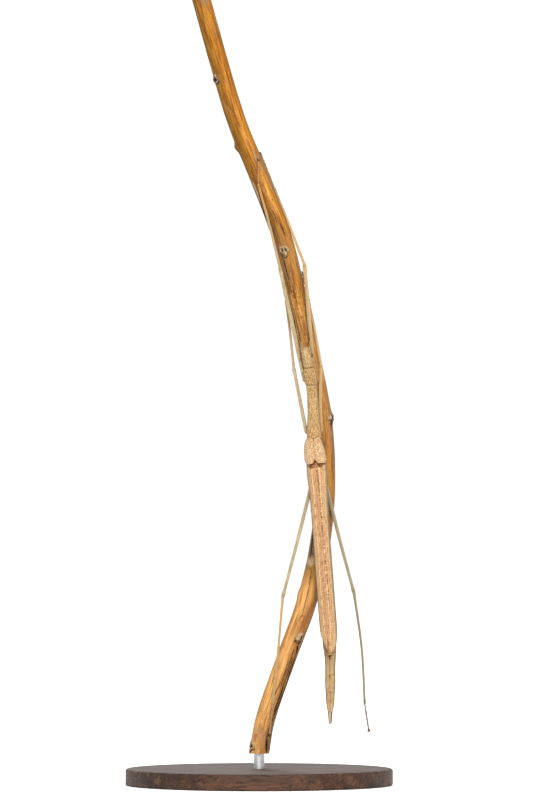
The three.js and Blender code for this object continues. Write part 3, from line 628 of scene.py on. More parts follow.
cuticle = Finish("straw_cuticle", Roughness=0.58, Specular_IOR_Level=0.2)
where = cuticle.lay()
dashes = cuticle.cloud(where, 0.3, (1, 1, 0.4), detail=3)
drift = cuticle.cloud(where, 1.4, (1, 1, 0.4), detail=3)
grains = cuticle.cells(where, 0.2, (1, 1, 0.8))
cuticle.paint(
    cuticle.over(cuticle.between(drift, 0.38, 0.62), tone("977b50"), tone("a88c61")),
    ("ruddy", "ae8354"),
    (cuticle.between(dashes, 0.5, 0.64, 0, 0.5), "463c2c", "SCREEN"),
    (cuticle.between(dashes, 0.48, 0.38, 0, 0.85), "bbad92", "MULTIPLY"),
    (cuticle.between(grains, 0.28, 0.08, 0, 0.5), "4c4234", "SCREEN"),
    (cuticle.between(grains, 0.4, 0.6, 0, 0.75), "bcac90", "MULTIPLY"),
    # dull olive: painted shade down the flanks and underneath, with dull streaks on the head
    (cuticle.broken("dull", dashes, 0.35, 0.6, 1, 0.7), "705e40"),
    ("pale", "b39873"),
    # the dark mark also carries painted shade down the flanks of the thorax and abdomen rings
    ("dark", "3e280c"),
)
cuticle.set("Roughness", cuticle.between(dashes, 0.35, 0.65, 0.48, 0.68))
cuticle.relief((drift, 0.05), (grains, -0.08), (dashes, 0.05))


def thorax_sculpt(first, last, keel=0.06, rear_ruddy=0.0, seam_dark=0.0, pits=()):
    """The cuticle of one thorax ring, with how high its keel stands, how ruddy
    its hind end is and how dark its hind seam."""

    def sculpt(d, degrees, lay):
        x, away = np.abs(lay[..., 0]), np.abs(degrees)
        top = away < 90
        wave, fine = ripple(lay, 0.7, first), ripple(lay * [1, 1, 0.5], 0.24, first)
        middle, flank = hump(x, 0, 0.1) * top, hump(away, 62, 7)
        lift = keel * middle + 0.05 * flank - 0.03 * hump(away, 84, 10)
        lift = lift + 0.022 * fine + 0.05 * wave * soft(away, 50, 70)
        seam = stripe(d, last - 0.22 + 0.1 * np.cos(x * 3.2), 0.13) * (away < 105) * soft(fine, -0.9, -0.1)
        dark = 0.22 * stripe(x, 0.2, 0.12) * top * soft(fine, -0.3, 0.3) + seam_dark * seam
        # painted shade down the flanks
        dark = dark + 0.2 * soft(away, 74, 88) * (1 - soft(away, 100, 118)) * soft(wave, -0.6, 0.4)
        dark = dark + 0.08 * stripe(d, first + 0.16, 0.14)
        pale = 0.3 * stripe(d, first + 0.36, 0.2) * (away < 70) + 0.15 * flank
        pale = pale + 0.25 * middle * soft(wave, -0.4, 0.5)
        ruddy = rear_ruddy * soft(d, last - 3.4, last - 1) * (1 - soft(away, 55, 75))
        ruddy = ruddy + 0.25 * (1 - soft(away, 20, 50))
        for at, aside, size in pits:
            pit = hump(d, at, size) * hump(x, aside, size * 0.6) * top
            lift, dark = lift - 0.07 * pit, dark + 0.6 * pit
        return lift, clipped(dark=dark, pale=pale, ruddy=ruddy)

    return sculpt


THORAX = {
    "front": ("prothorax", PROTHORAX, {"keel": 0.03, "seam_dark": 0.3, "pits": PRONOTUM_PITS}),
    "middle": ("mesothorax", MESOTHORAX, {"rear_ruddy": 0.45}),
    "hind": ("metathorax", METATHORAX, {"rear_ruddy": 0.3, "seam_dark": 0.4}),
}
for label, (node, rows, looks) in THORAX.items():
    ring = shell_of(rows, thorax_sculpt(rows[0][0], rows[-1][0], **looks))
    make_piece(f"thorax_{label}", [ring], cuticle, [node])

# ---- Head ----------------------------------------------------------------
# A hard capsule, almost square seen from above, with a forked seam on the
# crown and cheeks that swell behind the eyes.
HEAD = [
    [-0.03, 0.36, 0.2, 0.24], [0.06, 0.72, 0.43, 0.5], [0.3, 0.96, 0.62, 0.7], [1, 1.16, 0.85, 0.92],
    [2.1, 1.32, 1.02, 1.04], [3.4, 1.34, 1.1, 1.06], [4.5, 1.24, 1.02, 1], [4.98, 1, 0.8, 0.82],
]


def head_sculpt(d, degrees, lay):
    """The forked seam, furrows, brows, streaks and dark cheeks of the head."""
    x, away = np.abs(lay[..., 0]), np.abs(degrees)
    top = away < 90
    fine, wave = ripple(lay * [1, 1, 0.5], 0.24, 2), ripple(lay, 0.8, 5)
    fork = stripe(x, 0.28 * np.clip(2.4 - d, 0, 2), 0.12) * soft(d, 0.8, 1.2)
    seam = top * np.maximum(fork, stripe(x, 0, 0.1) * soft(d, 2.3, 2.6))
    furrow = hump(x, 0.55, 0.16) * top * soft(d, 1.4, 2) * (1 - soft(d, 4, 4.6))
    brow = hump(d, 1.05, 0.3) * hump(x, 0.45, 0.35) * top
    lift = 0.02 * fine - 0.05 * seam - 0.04 * furrow + 0.07 * brow - 0.06 * stripe(x, 0.9, 0.5) * (d < 0.9)
    neck = stripe(d, 4.86 - 0.1 * np.cos(x * 3.6), 0.09) * (away < 110) * soft(x, 0.12, 0.3)
    cheek = soft(away, 74, 84) * (1 - soft(away, 96, 112)) * (d > 2.7)
    dark = 0.35 * seam * soft(wave, -0.5, 0.3) + 0.3 * furrow * soft(fine, -0.2, 0.4)
    dark = dark + 0.2 * neck * soft(fine, -0.6, 0.1) + 0.35 * cheek
    streak = top * soft(ripple(lay * [1, 1, 0.2], 0.17, 9), 0.05, 0.35) * soft(d, 0.2, 0.9)
    pale = 0.5 * stripe(x, 0.28, 0.2) * top * soft(wave, -0.4, 0.4) + 0.1 * brow + 0.2
    # painted shade down the flanks, with dull streaks over the crown
    dull = np.maximum(soft(away, 44, 74), 0.45 * streak)
    return lift, clipped(dark=dark, pale=pale * (1 - streak), dull=dull)


make_piece("head_capsule", [shell_of(HEAD, head_sculpt, step=0.07, rim=0.06)], cuticle, ["head"])

# ---- Eyes ----------------------------------------------------------------
# Two small oval compound eyes, brown and glossy, paler below and towards
# the head, set in its sides behind the feelers.
EYE_SIZE = 0.44, 0.47, 0.58
SIDES = (-1, "left"), (1, "right")

eye_gloss = Finish(
    "compound_eye", Roughness=0.35, Specular_IOR_Level=0.2, Coat_Weight=0.06, Coat_Roughness=0.2
)
where = eye_gloss.lay()
eye_gloss.paint(
    eye_gloss.over(eye_gloss.mark("pale"), tone("54350f"), tone("8a6a3a")),
    (eye_gloss.between(eye_gloss.cloud(where, 0.3), 0.5, 0.7, 0, 0.5), "6e4a1e"),
)
eye_gloss.relief((eye_gloss.cells(where, 0.055), -0.012))


def ball(centre, size, rows=28, sides=36):
    """An egg of these half sizes, as rings from its foot to its crown."""
    almost = math.pi / 2 - 0.05
    rise = np.linspace(-almost, almost, rows)[:, None]
    turn = np.linspace(0, 2 * math.pi, sides, endpoint=False)
    out, up = np.cos(rise), np.sin(rise) + 0 * turn
    lay = np.stack([out * np.cos(turn), out * np.sin(turn), up], -1) * size
    return centre + lay, lay


for side, label in SIDES:
    rings, lay = ball(body_point(2.15, side * 1.18, 0.42), EYE_SIZE)
    rim = soft(-side * lay[..., 0], 0.0, 0.16)
    pale = 0.95 * np.maximum(1 - soft(-lay[..., 1], -0.2, 0.15), rim)
    lens = lofted(rings, {"lay": lay, "pale": pale})
    make_piece(f"eye_{label}_lens", [lens], eye_gloss, [f"eye_{label}"])

# ---- Mouthparts ----------------------------------------------------------
# Upper lip, jaws and cheeks under the front of the head, with a pair of
# jointed palps lying forward beneath them.
MOUTH = [
    [-0.2, 0.36, 0.1, 0.42], [0, 0.58, 0.2, 0.66], [0.5, 0.74, 0.3, 0.9],
    [1.2, 0.78, 0.2, 1.02], [1.9, 0.6, 0.1, 0.98],
]
MOUTH_FRONT, MOUTH_DROP = -0.24, 0.3
PALP = [[0, 0.24, 0.24], [0.3, 0.2, 0.2], [0.62, 0.23, 0.23], [1, 0.2, 0.2]]

horn = Finish("horn_cuticle", Roughness=0.6, Specular_IOR_Level=0.12)
bands = horn.cloud(horn.lay(), 0.3, (1, 1, 0.5), detail=3)
horn.paint(
    horn.over(horn.between(bands, 0.35, 0.65), tone("6f5735"), tone("8f7550")),
    # dull olive: painted shade along the sides and undersides of palps, feelers and tail spikes
    ("dull", "534830"),
    ("pale", "a8937a"),
    ("dark", "2f2013"),
)
horn.relief((bands, 0.05))

rows = np.linspace(MOUTH_FRONT, MOUTH[-1][0], 46)
width, top, bottom = eased(MOUTH, rows).T[:, :, None]
close = np.sqrt(np.clip((rows - MOUTH_FRONT + 0.02) / 0.3, 0.05, 1))[:, None]
turn = np.linspace(-math.pi, math.pi, 64, endpoint=False)
x, y = np.sin(turn), np.cos(turn)
across, rise = width * x * close, np.where(y > 0, top, bottom) * y * close
parting = stripe(across, 0, 0.08) * (y < 0)
lip_edge = stripe(rows[:, None] + 0.25 * across**2, 0.42, 0.09) * (y < 0)
jaw = hump(np.abs(across), 0.38, 0.2) * (y < 0.2) * soft(rows, 0.3, 0.7)[:, None]
grow = 1 + (0.07 * jaw - 0.07 * parting - 0.05 * lip_edge) / np.maximum(np.hypot(across, rise), 0.2)
centre, up, aside = body_frame(np.zeros(len(rows)))
centre = centre + rows[:, None] * body_line.heading(0) - MOUTH_DROP * BACK
marks = clipped(dark=0.8 * parting + 0.7 * lip_edge, pale=0.5 * jaw)
marks["lay"] = straightened(across, rise, rows)
mouth = lofted(crossways(centre, up, aside, across * grow, rise * grow), marks)
make_piece("mouth_lip_and_jaws", [mouth], horn, ["mouthparts"])


def limb(line, table, lean, sides=28, step=0.16, domes=(0.6, 0.6), ridges=0, cut=None, joints=(), ring=0.06):
    """A jointed limb or whip along a line, or along a cut of it: (share, half
    width, half height) rows, domed ends, low lengthwise ridges and small rings
    at its joints. Gives its rings, their places and the angles round them."""
    start, stop = cut or (0, line.length)
    inner = np.linspace(start, stop, max(6, int((stop - start) / step)))
    close = [start + share * (stop - start) + k for share in joints for k in (-0.12, -0.05, 0, 0.05, 0.12)]
    inner = np.unique(np.concatenate([inner, close]))
    lead = np.radians([78, 62, 44, 24])
    foot_dome, tip_dome = domes[0] * table[0][1] * np.sin(lead), domes[1] * table[-1][1] * np.sin(lead[::-1])
    d = np.concatenate([start - foot_dome, inner, stop + tip_dome])
    shrink = np.concatenate([np.cos(lead), np.ones(len(inner)), np.cos(lead[::-1])])
    for share in joints:
        shrink = shrink * (1 + ring / 0.2 * hump(d, start + share * (stop - start), 0.07))
    width, rise_by = eased(table, np.clip((d - start) / (stop - start), 0, 1)).T * shrink
    turn = np.linspace(0, 2 * math.pi, sides, endpoint=False)
    c, s = np.cos(turn), np.sin(turn)
    swell = squareness(c, s, 2.3) * (1 + ridges * (np.cos(4 * turn + math.pi) - 0.3))
    across, rise = width[:, None] * c * swell, rise_by[:, None] * s * swell
    rings = crossways(line.place(d), *cross_axes(line.heading(d), lean), across, rise)
    return rings, straightened(across, rise, d), turn


def plain(rings, lay, dark=0.0, pale=0.0, dull=0.0, warm=0.0, amber=0.0):
    """The skin of a limb, with painted shade along its sides and underneath."""
    lift = lay[..., 1] / np.maximum(np.hypot(lay[..., 0], lay[..., 1]), 1e-6)
    marks = clipped(dark=dark, pale=pale) | {"warm": warm, "amber": amber}
    marks["dull"] = np.maximum(1 - soft(lift, 0.12, 0.8), dull)
    spread = {key: np.broadcast_to(value, lay.shape[:2]) for key, value in marks.items()}
    return lofted(rings, {"lay": lay} | spread)


for side, label in SIDES:
    places = (1.5, 0.6, -1.36), (0.8, 0.66, -1.4), (0.1, 0.62, -1.34)
    palp = Line([body_point(distance, side * across, rise) for distance, across, rise in places])
    rings, lay, _ = limb(palp, PALP, BACK, joints=(0.3, 0.62), ring=0.05)
    tip = 0.5 * soft(lay[..., 2] / palp.length, 0.8, 1)
    make_piece(f"palp_{label}_joints", [plain(rings, lay, pale=tip)], horn, [f"palp_{label}"])

# ---- Feelers -------------------------------------------------------------
# Two fine whips of many short rings. The stout first joint turns on a knob
# beside each eye, and the whips lie forward along the front legs.
FEELERS = {
    "left": [
        [10.0, -5.5, 105.2], [9.65, -5.1, 107.4], [8.75, -4.75, 111.5],
        [7.4, -4.65, 116.5], [5.9, -4.7, 122.6],
    ],
    "right": [
        [12.1, -5.45, 105.3], [11.85, -4.95, 107.4], [11.25, -4.7, 111.5],
        [10.95, -4.6, 116.5], [10.35, -4.5, 122],
    ],
}
FEELER_SIZES = [
    [0, 0.3, 0.3], [0.045, 0.31, 0.31], [0.06, 0.19, 0.19],
    [0.1, 0.17, 0.17], [0.5, 0.13, 0.13], [1, 0.08, 0.08],
]
FEELER_JOINTS = [0.06, 0.09, *np.linspace(0.13, 0.97, 24)]

for side, label in SIDES:
    whip = Line([body_point(0.95, side * 0.9, 0.55), *FEELERS[label]])
    rings, lay, _ = limb(whip, FEELER_SIZES, BACK, sides=16, step=0.12, joints=FEELER_JOINTS, ring=0.03)
    share = lay[..., 2] / whip.length
    bands = np.maximum.reduce([stripe(share, joint + 0.008, 0.012) for joint in FEELER_JOINTS])
    skin = plain(rings, lay, dark=(0.7 + 0.25 * bands) * soft(share, 0.07, 0.16))
    make_piece(f"feeler_{label}", [skin], horn, [f"antenna_{label}"])

# ---- Abdomen -------------------------------------------------------------
# Ten telescoping rings, each a little proud at its hind rim, hidden under
# the folded wings as far as the seventh. A broken dark line runs down the
# middle of the last ones.
SEGMENT_ENDS = [30.6, 33.4, 41.3, 49.2, 57.1, 65, 72.6, 79.1, 82.3, 85.1, 87.1]
BARE_FROM, LAST_RING = 7, 10
ABDOMEN = [
    [30.6, 1.68, 1.24, 1.3], [36, 1.52, 1.2, 1.24], [45, 1.44, 1.12, 1.18], [60, 1.54, 1.08, 1.14],
    [67, 1.7, 1.05, 1.1], [70, 1.68, 1.04, 1.08], [73, 1.48, 1.02, 1.04], [76.4, 1.25, 1, 1],
    [78.2, 1.22, 0.96, 0.96], [79.6, 1.28, 0.93, 0.93], [82.3, 1.14, 0.85, 0.85],
    [85.1, 0.98, 0.7, 0.7], [86.4, 0.78, 0.56, 0.56], [87.1, 0.6, 0.45, 0.45],
]


def ring_sculpt(first, last, number):
    """The cuticle of one ring: its rim, keel and broken midline, painted shade
    down its sides and close behind the wing tips and, on the first bare ring, the
    dark wedge between the wing tips."""

    def sculpt(d, degrees, lay):
        x, away = np.abs(lay[..., 0]), np.abs(degrees)
        top = away < 90
        fine, wave = ripple(lay * [1, 1, 0.4], 0.22, number), ripple(lay * [1, 1, 0.5], 0.9, number)
        dots = soft(ripple(lay * [0, 0, 1], 0.32, number), -0.15, 0.25)
        rim = soft(d, last - 0.5, last - 0.25)
        lift = 0.035 * (d - first) / (last - first) - 0.02 + 0.035 * rim + 0.016 * fine
        lift = lift + 0.035 * hump(x, 0, 0.09) * top - 0.05 * hump(away, 100, 5)
        dark = 0.6 * stripe(x, 0, 0.28) * top * (0.35 + 0.65 * dots)
        dark = dark + 0.3 * stripe(d, last - 0.1, 0.12) * soft(away, 45, 62)
        # painted shade down the flanks
        dark = dark + 0.68 * soft(away, 56, 72) * (1 - soft(away, 98, 110))
        dark = dark + 0.15 * stripe(x, 0.55, 0.12) * top * soft(wave, -0.1, 0.5)
        pale = 0.15 * rim * (1 - soft(d, last - 0.24, last - 0.16)) + 0.8 * rim * stripe(away, 66, 30)
        pale = pale + 0.35 * (1 - soft(away, 34, 56)) * soft(wave, -0.8, 0.4) * soft(d, 73.5, 77)
        pale = pale + 0.3 * (number == LAST_RING)
        if number == BARE_FROM:
            dark = dark + 0.95 * (1 - soft(x / 0.62 + (d - 73.2) / 1.7, 0.75, 1.1)) * top
            dark = dark + 0.8 * hump(x, 0, 0.16) * hump(d, 78.65, 0.3)
        ruddy = 0.15 + 0.35 * (1 - soft(x, 0.15, 0.7)) + 0.4 * stripe(x, 0, 0.3) * dots
        ruddy = ruddy * top * (number >= BARE_FROM)
        # painted shade: duller down the flanks, and up to 76 mm along the body, under and close behind the
        # wing tips
        dull = np.maximum(soft(away + 6 * wave, 40, 62), 0.55 * (1 - soft(d, 76, 78.8)) + 0.08)
        return lift, clipped(dark=dark, pale=pale, ruddy=ruddy, dull=dull)

    return sculpt


for number, (first, last) in enumerate(zip(SEGMENT_ENDS, SEGMENT_ENDS[1:]), 1):
    at = np.unique(np.round([first + 0.01, *np.linspace(first, last, 12)[1:-1], last - 0.01], 3))
    sizes = np.column_stack([at, eased(ABDOMEN, at)])
    ring = shell_of(sizes, ring_sculpt(first, last, number), step=0.13, sides=72, rim=0.04)
    make_piece(f"abdomen_ring_{number:02d}", [ring], cuticle, [f"abdomen_{number:02d}"])

# ---- Tail ----------------------------------------------------------------
# The egg-laying keel lies under the last rings, and two flat spikes lie side
# by side at the end, pale with dark outer edges.
KEEL = [
    [79.3, 0.3, 0.3, 0.1], [80.4, 0.52, 0.3, 0.34], [84, 0.5, 0.3, 0.42],
    [87.2, 0.34, 0.3, 0.34], [88.2, 0.14, 0.2, 0.16],
]
SPIKE = [[0, 0.3, 0.32], [0.4, 0.25, 0.28], [0.8, 0.22, 0.23], [1, 0.14, 0.16]]

rows = np.linspace(KEEL[0][0], KEEL[-1][0], 90)
width, top, bottom = eased(KEEL, rows).T[:, :, None]
turn = np.linspace(-math.pi, math.pi, 40, endpoint=False)
x, y = np.sin(turn), np.cos(turn)
edge = 1 + 0.14 * hump(x, 0, 0.25) * (y < 0)
across, rise = width * x, np.where(y > 0, top, bottom) * y * edge
centre, up, aside = body_frame(rows)
centre = centre - (eased(ABDOMEN, rows)[:, 2:3] + 0.02) * up
marks = {"lay": straightened(across, rise, rows), "dark": 0.4 * stripe(across, 0, 0.1) * (y < 0)}
marks["pale"] = np.broadcast_to(0.3 * (y < -0.5), across.shape)
keel = lofted(crossways(centre, up, aside, across, rise), marks)
make_piece("egg_keel", [keel], cuticle, ["operculum"])

for side, label in SIDES:
    places = (86.9, 0.28, 0.02), (88.6, 0.24, 0.0), (89.95, 0.17, -0.06)
    spike = Line([body_point(distance, side * across, rise) for distance, across, rise in places])
    rings, lay, _ = limb(spike, SPIKE, BACK, step=0.08, domes=(0.3, 1))
    outer = soft(side * lay[..., 0], -0.03, 0.1)
    outer = outer + 0.9 * soft(lay[..., 2], spike.length - 0.16, spike.length + 0.05)
    skin = plain(rings, lay, dark=0.95 * np.clip(outer, 0, 1), pale=1.1 - outer, dull=0.7 * outer)
    make_piece(f"tail_spike_{label}", [skin], horn, [f"cercus_{label}"])

# ---- Hind wings ----------------------------------------------------------
# Each hind wing folds like a fan under its stiff front panel, and only the
# panels show: thin straw-coloured sheets with raised pinkish veins and fine
# cross-veins. The right one laps over the left along the back.

# distance along the body, half width, height, and the angles that the sheet
# spans, from the middle of the back
WING = [
    [22.3, 1.9, 1.5, 1, 74], [24, 2.05, 1.7, 1, 84], [26, 2.2, 1.8, 1, 92],
    [30, 2.42, 1.84, 1, 98], [33.5, 2.24, 1.82, 1, 100], [38, 2.08, 1.76, 1, 100],
    [48, 2, 1.68, 1, 100], [58, 2.04, 1.64, 1, 100], [66.5, 2.04, 1.62, 1, 98],
]
WING_TIPS = {
    -1: [
        [68.5, 2.03, 1.61, 1, 76], [69.8, 2.02, 1.6, 1, 54], [71.5, 2, 1.59, 1.5, 34],
        [72.6, 2, 1.58, 2, 20], [73.3, 2, 1.57, 3, 9],
    ],
    1: [
        [69, 2.03, 1.61, 1, 84], [70.6, 2.02, 1.6, 1, 64], [72.3, 2, 1.59, 1.5, 42],
        [73.1, 2, 1.58, 2, 24], [73.6, 2, 1.57, 3, 11],
    ],
}
WING_THICK, WING_COLUMNS = 0.3, 80
# the right wing stands out and up a little and laps over by 7 degrees, and
# past 68 mm by 1.4 degrees more for each mm
LAP_OUT, LAP_UP, LAP, LAP_FROM, LAP_MORE = 0.06, 0.1, 7, 68, 1.4
# the long veins, as shares of the way to the edge, and their half width of
# 0.09 mm as a share of the way round a back of 2 mm radius
LONG_VEINS = 0.05, 0.17, 0.3, 0.43, 0.57, 0.74
VEIN_WIDE = 0.09 / (2 * math.radians(100))
# the dark line by distances and angles, how dark it and the tip are, at which
# angle the painted shade on the side begins and how much more there is, and how
# pale and pink the strips are
WING_LOOKS = {
    -1: {
        "line": ([0], [9]), "line_dark": 0.2, "tip_dark": 0.85, "dull_from": 46, "side_dull": 0.15,
        "pale": (0.6, 0.25, 0.9, 0.4, 1, 0.3, 0.7), "pink": (0.1, 0.3, 0, 0.25, 0, 0.1, 0),
    },
    1: {
        "line": ([27, 33, 40, 50, 60, 68], [1, 8, 14, 20, 22, 20]),
        "line_dark": 0.9, "tip_dark": 0.35, "dull_from": 54, "side_dull": 0.35,
        "pale": (0.9, 0.3, 0.95, 0.35, 0.9, 0.5, 0.6), "pink": (0.2, 0.35, 0.05, 0.2, 0, 0, 0),
    },
}
# the hind edge of the wing covers, across the back and along the body, which the painted shadow on the hind
# wings follows
COVER_EDGE = (
    [-1.9, -1.1, -0.35, -0.1, 0.15, 0.5, 1.1, 1.7, 2.3],
    [28.4, 29.0, 28.7, 27.8, 27.7, 28.6, 28.95, 28.4, 27.9],
)


def sheet_over_back(rows, d, side, columns, thick, sculpt, inner=1.0):
    """A thin curved sheet over the back, its free edges thinned, the inner one
    less where inner is above 1. sculpt gives height and marks at each distance
    and share from the middle to the edge."""
    width, height, start, stop = eased(rows, d).T[:, :, None]
    share = np.linspace(0, 1, columns)
    degrees = start + (stop - start) * share
    x, y = np.sin(np.radians(degrees)), np.cos(np.radians(degrees))
    swell = squareness(x, y)
    edge = np.minimum(share * inner + (inner > 1) * 0.05, 1 - share) * np.radians(stop - start) * width
    tip = np.minimum(d - d[0], d[-1] - d)[:, None]
    thin = thick * (0.25 + 0.75 * np.sqrt(np.clip(np.minimum(edge, tip) / 0.35, 0, 1)))
    long, share, _ = np.broadcast_arrays(d[:, None], share, degrees)
    lay = np.stack([side * np.radians(degrees) * 2, 0 * degrees, long], -1)
    lift, marks = sculpt(long, share, degrees, lay)
    frame_here = body_frame(d)

    def layer(inset):
        return crossways(*frame_here, side * (width - inset) * x * swell, (height - inset) * y * swell)

    inside, outside = layer(thick / 2 - thin / 2 - lift), layer(thick / 2 + thin / 2)
    both = {key: np.concatenate([value, value[:, ::-1]], 1) for key, value in (marks | {"lay": lay}).items()}
    return lofted(np.concatenate([inside, outside[:, ::-1]], 1), both)


def cross_veins(d, share, spacing, seed, wide):
    """Short veins across the strips between the long ones, out of step."""
    strip = np.searchsorted(LONG_VEINS, share)
    shift = np.random.default_rng(seed).uniform(0, 1, len(LONG_VEINS) + 1)[strip]
    beat = d / spacing + shift + 0.25 * np.sin(d * 1.7 + 9 * shift)
    return hump((beat + 0.5) % 1, 0.5, wide / spacing)


def wing_sculpt(side):
    """The veins, strips and dark lines of one panel, its dark tip, painted shade along its side and outer
    edge, and the painted shadow at its root behind the covers.
    """
    looks = WING_LOOKS[side]
    tip_end = WING_TIPS[side][-1][0] - 0.15

    def sculpt(d, share, degrees, lay):
        wave, torn = ripple(lay * [1, 1, 0.3], 0.8, 20 + side), ripple(lay * [0.5, 1, 1], 0.5, 30 + side)
        veins = sum(hump(share, at, VEIN_WIDE) for at in LONG_VEINS) * soft(torn, -1.2, -0.1)
        cross = cross_veins(d, share, 0.56, 5 + side, 0.1) * (1 - soft(d, 70, 73) * 0.5)
        lift = 0.06 * np.clip(veins, 0, 1) + 0.035 * cross + 0.02 * wave
        # a broken dark line along the fold, with a shorter one on each side of it
        course = np.interp(d, *looks["line"])
        line = looks["line_dark"] * stripe(degrees, course, 6.5) * soft(torn, -0.3, 0.05)
        line = line * (1 - soft(d, 54, 68))
        inner = stripe(degrees, course - 8, 5) * soft(torn, 0.0, 0.25) * soft(d, 36, 40)
        inner = inner * (1 - soft(d, 58, 66))
        outer = stripe(degrees, course + 9, 4) * soft(torn, 0.15, 0.35) * (1 - soft(d, 52, 60))
        dark = 0.85 * np.clip(line + 0.5 * inner + 0.35 * outer, 0, 1)
        # painted shade along the outer edge of the panel
        dark = dark + 0.35 * soft(share, 0.86, 0.95) * soft(wave, -0.6, 0.2)
        dark = dark + 0.4 * stripe(d, tip_end - 0.4, 0.25) * soft(torn, -0.2, 0.2)
        to_edge = np.radians(degrees * (1 / np.maximum(share, 0.05) - 1)) * 2
        dark = dark + looks["tip_dark"] * (1 - soft(to_edge, 0.2, 0.48)) * soft(d, 69, 70.6)
        # painted shadow: the dark band that the wing covers cast on the panel along their hind edge
        across = side * np.sin(np.radians(degrees)) * 2.3
        edge = np.interp(across, *COVER_EDGE)
        cover_shadow = soft(d, edge - 1.3, edge - 0.9) * (1 - soft(d + 0.15 * wave, edge - 0.1, edge + 0.2))
        dark = dark + 0.95 * cover_shadow * soft(torn, -0.75, -0.1) * (1 - 0.4 * soft(across, 1.5, 2.1))
        number = np.searchsorted(LONG_VEINS, share)
        strip = np.clip(1 - 0.8 * veins, 0, 1) * (1 - 0.4 * cross)
        pale = np.array(looks["pale"])[number] * strip * soft(wave, -0.8, 0.1) + 0.8 * stripe(d, tip_end, 0.3)
        pink = 0.7 * veins + 0.35 * cross + np.array(looks["pink"])[number]
        # painted shade: the panel grows duller towards its side, as it turns away from the front
        dull = 0.95 * soft(degrees, looks["dull_from"], 76)
        dull = dull + looks["side_dull"] * soft(degrees, 35, 60) * (0.6 + 0.8 * cross)
        return lift, clipped(dark=dark, pale=pale, vein=pink) | {"dull": dull}

    return sculpt


membrane = Finish("wing_panel", Roughness=0.65, Specular_IOR_Level=0.1)
where = membrane.lay()
grain = membrane.cloud(where, 0.22, (1, 1, 0.16), detail=3)
drift = membrane.cloud(where, 1.5, (1, 1, 0.25), detail=3)
membrane.paint(
    membrane.over(membrane.between(drift, 0.38, 0.64), tone("9d7d57"), tone("a78b64")),
    ("pale", "b49a72"),
    ("vein", "946848"),
    (membrane.between(grain, 0.5, 0.62, 0, 0.7), "4a3c2c", "SCREEN"),
    (membrane.between(grain, 0.48, 0.36, 0, 0.8), "bcaa94", "MULTIPLY"),
    # dull olive: painted shade towards the side of each panel
    ("dull", "665a42"),
    # dark: dark lines and tips, with the painted shadow behind the covers and painted shade along the outer
    # edge
    ("dark", membrane.over(membrane.between(grain, 0.42, 0.6), tone("401b00"), tone("5e350a"))),
)
membrane.set("Roughness", membrane.between(grain, 0.35, 0.65, 0.4, 0.58))
membrane.relief((drift, 0.04), (grain, 0.04))

for side, label in SIDES:
    rows = np.array(WING + WING_TIPS[side], float)
    if label == "right":
        rows[:, 1:3] += LAP_OUT, LAP_UP
        rows[:, 3] = -LAP - LAP_MORE * np.maximum(rows[:, 0] - LAP_FROM, 0)
    start, end = rows[0][0], rows[-1][0]
    near_tip = end - np.array([0.15, 0.1, 0.05, 0])
    d = np.concatenate([start + np.array([0, 0.04, 0.12]), np.arange(start + 0.22, end - 0.2, 0.1), near_tip])
    panel = sheet_over_back(rows, d, side, WING_COLUMNS, WING_THICK, wing_sculpt(side))
    make_piece(f"wing_{label}_panel", [panel], membrane, [f"wing_{label}"], crease=75)

# ---- Wing covers ---------------------------------------------------------
# The front wings are short oval scales, cream and finely netted, domed over
# the wing roots, with an ochre inner edge and painted shade along the outer one.
TEGMEN = [
    [21.66, 2.3, 1.86, 20], [21.8, 2.36, 1.9, 13], [22.15, 2.46, 2.02, 0.6], [23.2, 2.64, 2.34, 0.1],
    [24.75, 2.74, 2.46, 0.1], [26.15, 2.76, 2.44, 0.1], [26.9, 2.8, 2.42, 1], [27.3, 2.84, 2.41, 5],
    [27.65, 2.86, 2.4, 10], [27.9, 2.86, 2.4, 17],
]
TEGMEN_SPREAD = {
    -1: (42, 46, 53, 68, 80, 84, 78, 66, 54, 43),
    1: (40, 43, 46, 52, 62, 70, 72, 69, 61, 48),
}
TEGMEN_THICK, TEGMEN_COLUMNS = 0.34, 72


def tegmen_sculpt(d, share, degrees, lay):
    """A dome with one rib, an ochre inner edge and painted shade on the outer one."""
    wave = ripple(lay, 0.9, 41)
    along = (d - 21.95) / 5.95
    middle = 0.36 + 0.1 * along
    lift = 0.16 * hump(share, middle, 0.3) * hump(along, 0.45, 0.4) + 0.05 * hump(share, middle, 0.05)
    # painted shade along the outer edge, wider on the left cover, and duller over the outer part
    outer = np.where(lay[..., 0] < 0, soft(share, 0.8, 0.92), soft(share, 0.9, 0.99))
    dark = 0.75 * outer * soft(wave, -0.8, 0.1)
    dark = dark + 0.35 * stripe(share, middle - 0.1, 0.04) * soft(wave, -0.2, 0.5)
    pale = 0.6 * soft(wave, -0.2, 0.6) * (1 - outer)
    ruddy = 0.45 * (1 - soft(share, 0.0, 0.2)) + 0.2 * (1 - soft(along, 0, 0.2))
    return lift, clipped(dark=dark, pale=pale, ruddy=ruddy, dull=0.6 * soft(share, 0.7, 0.95))


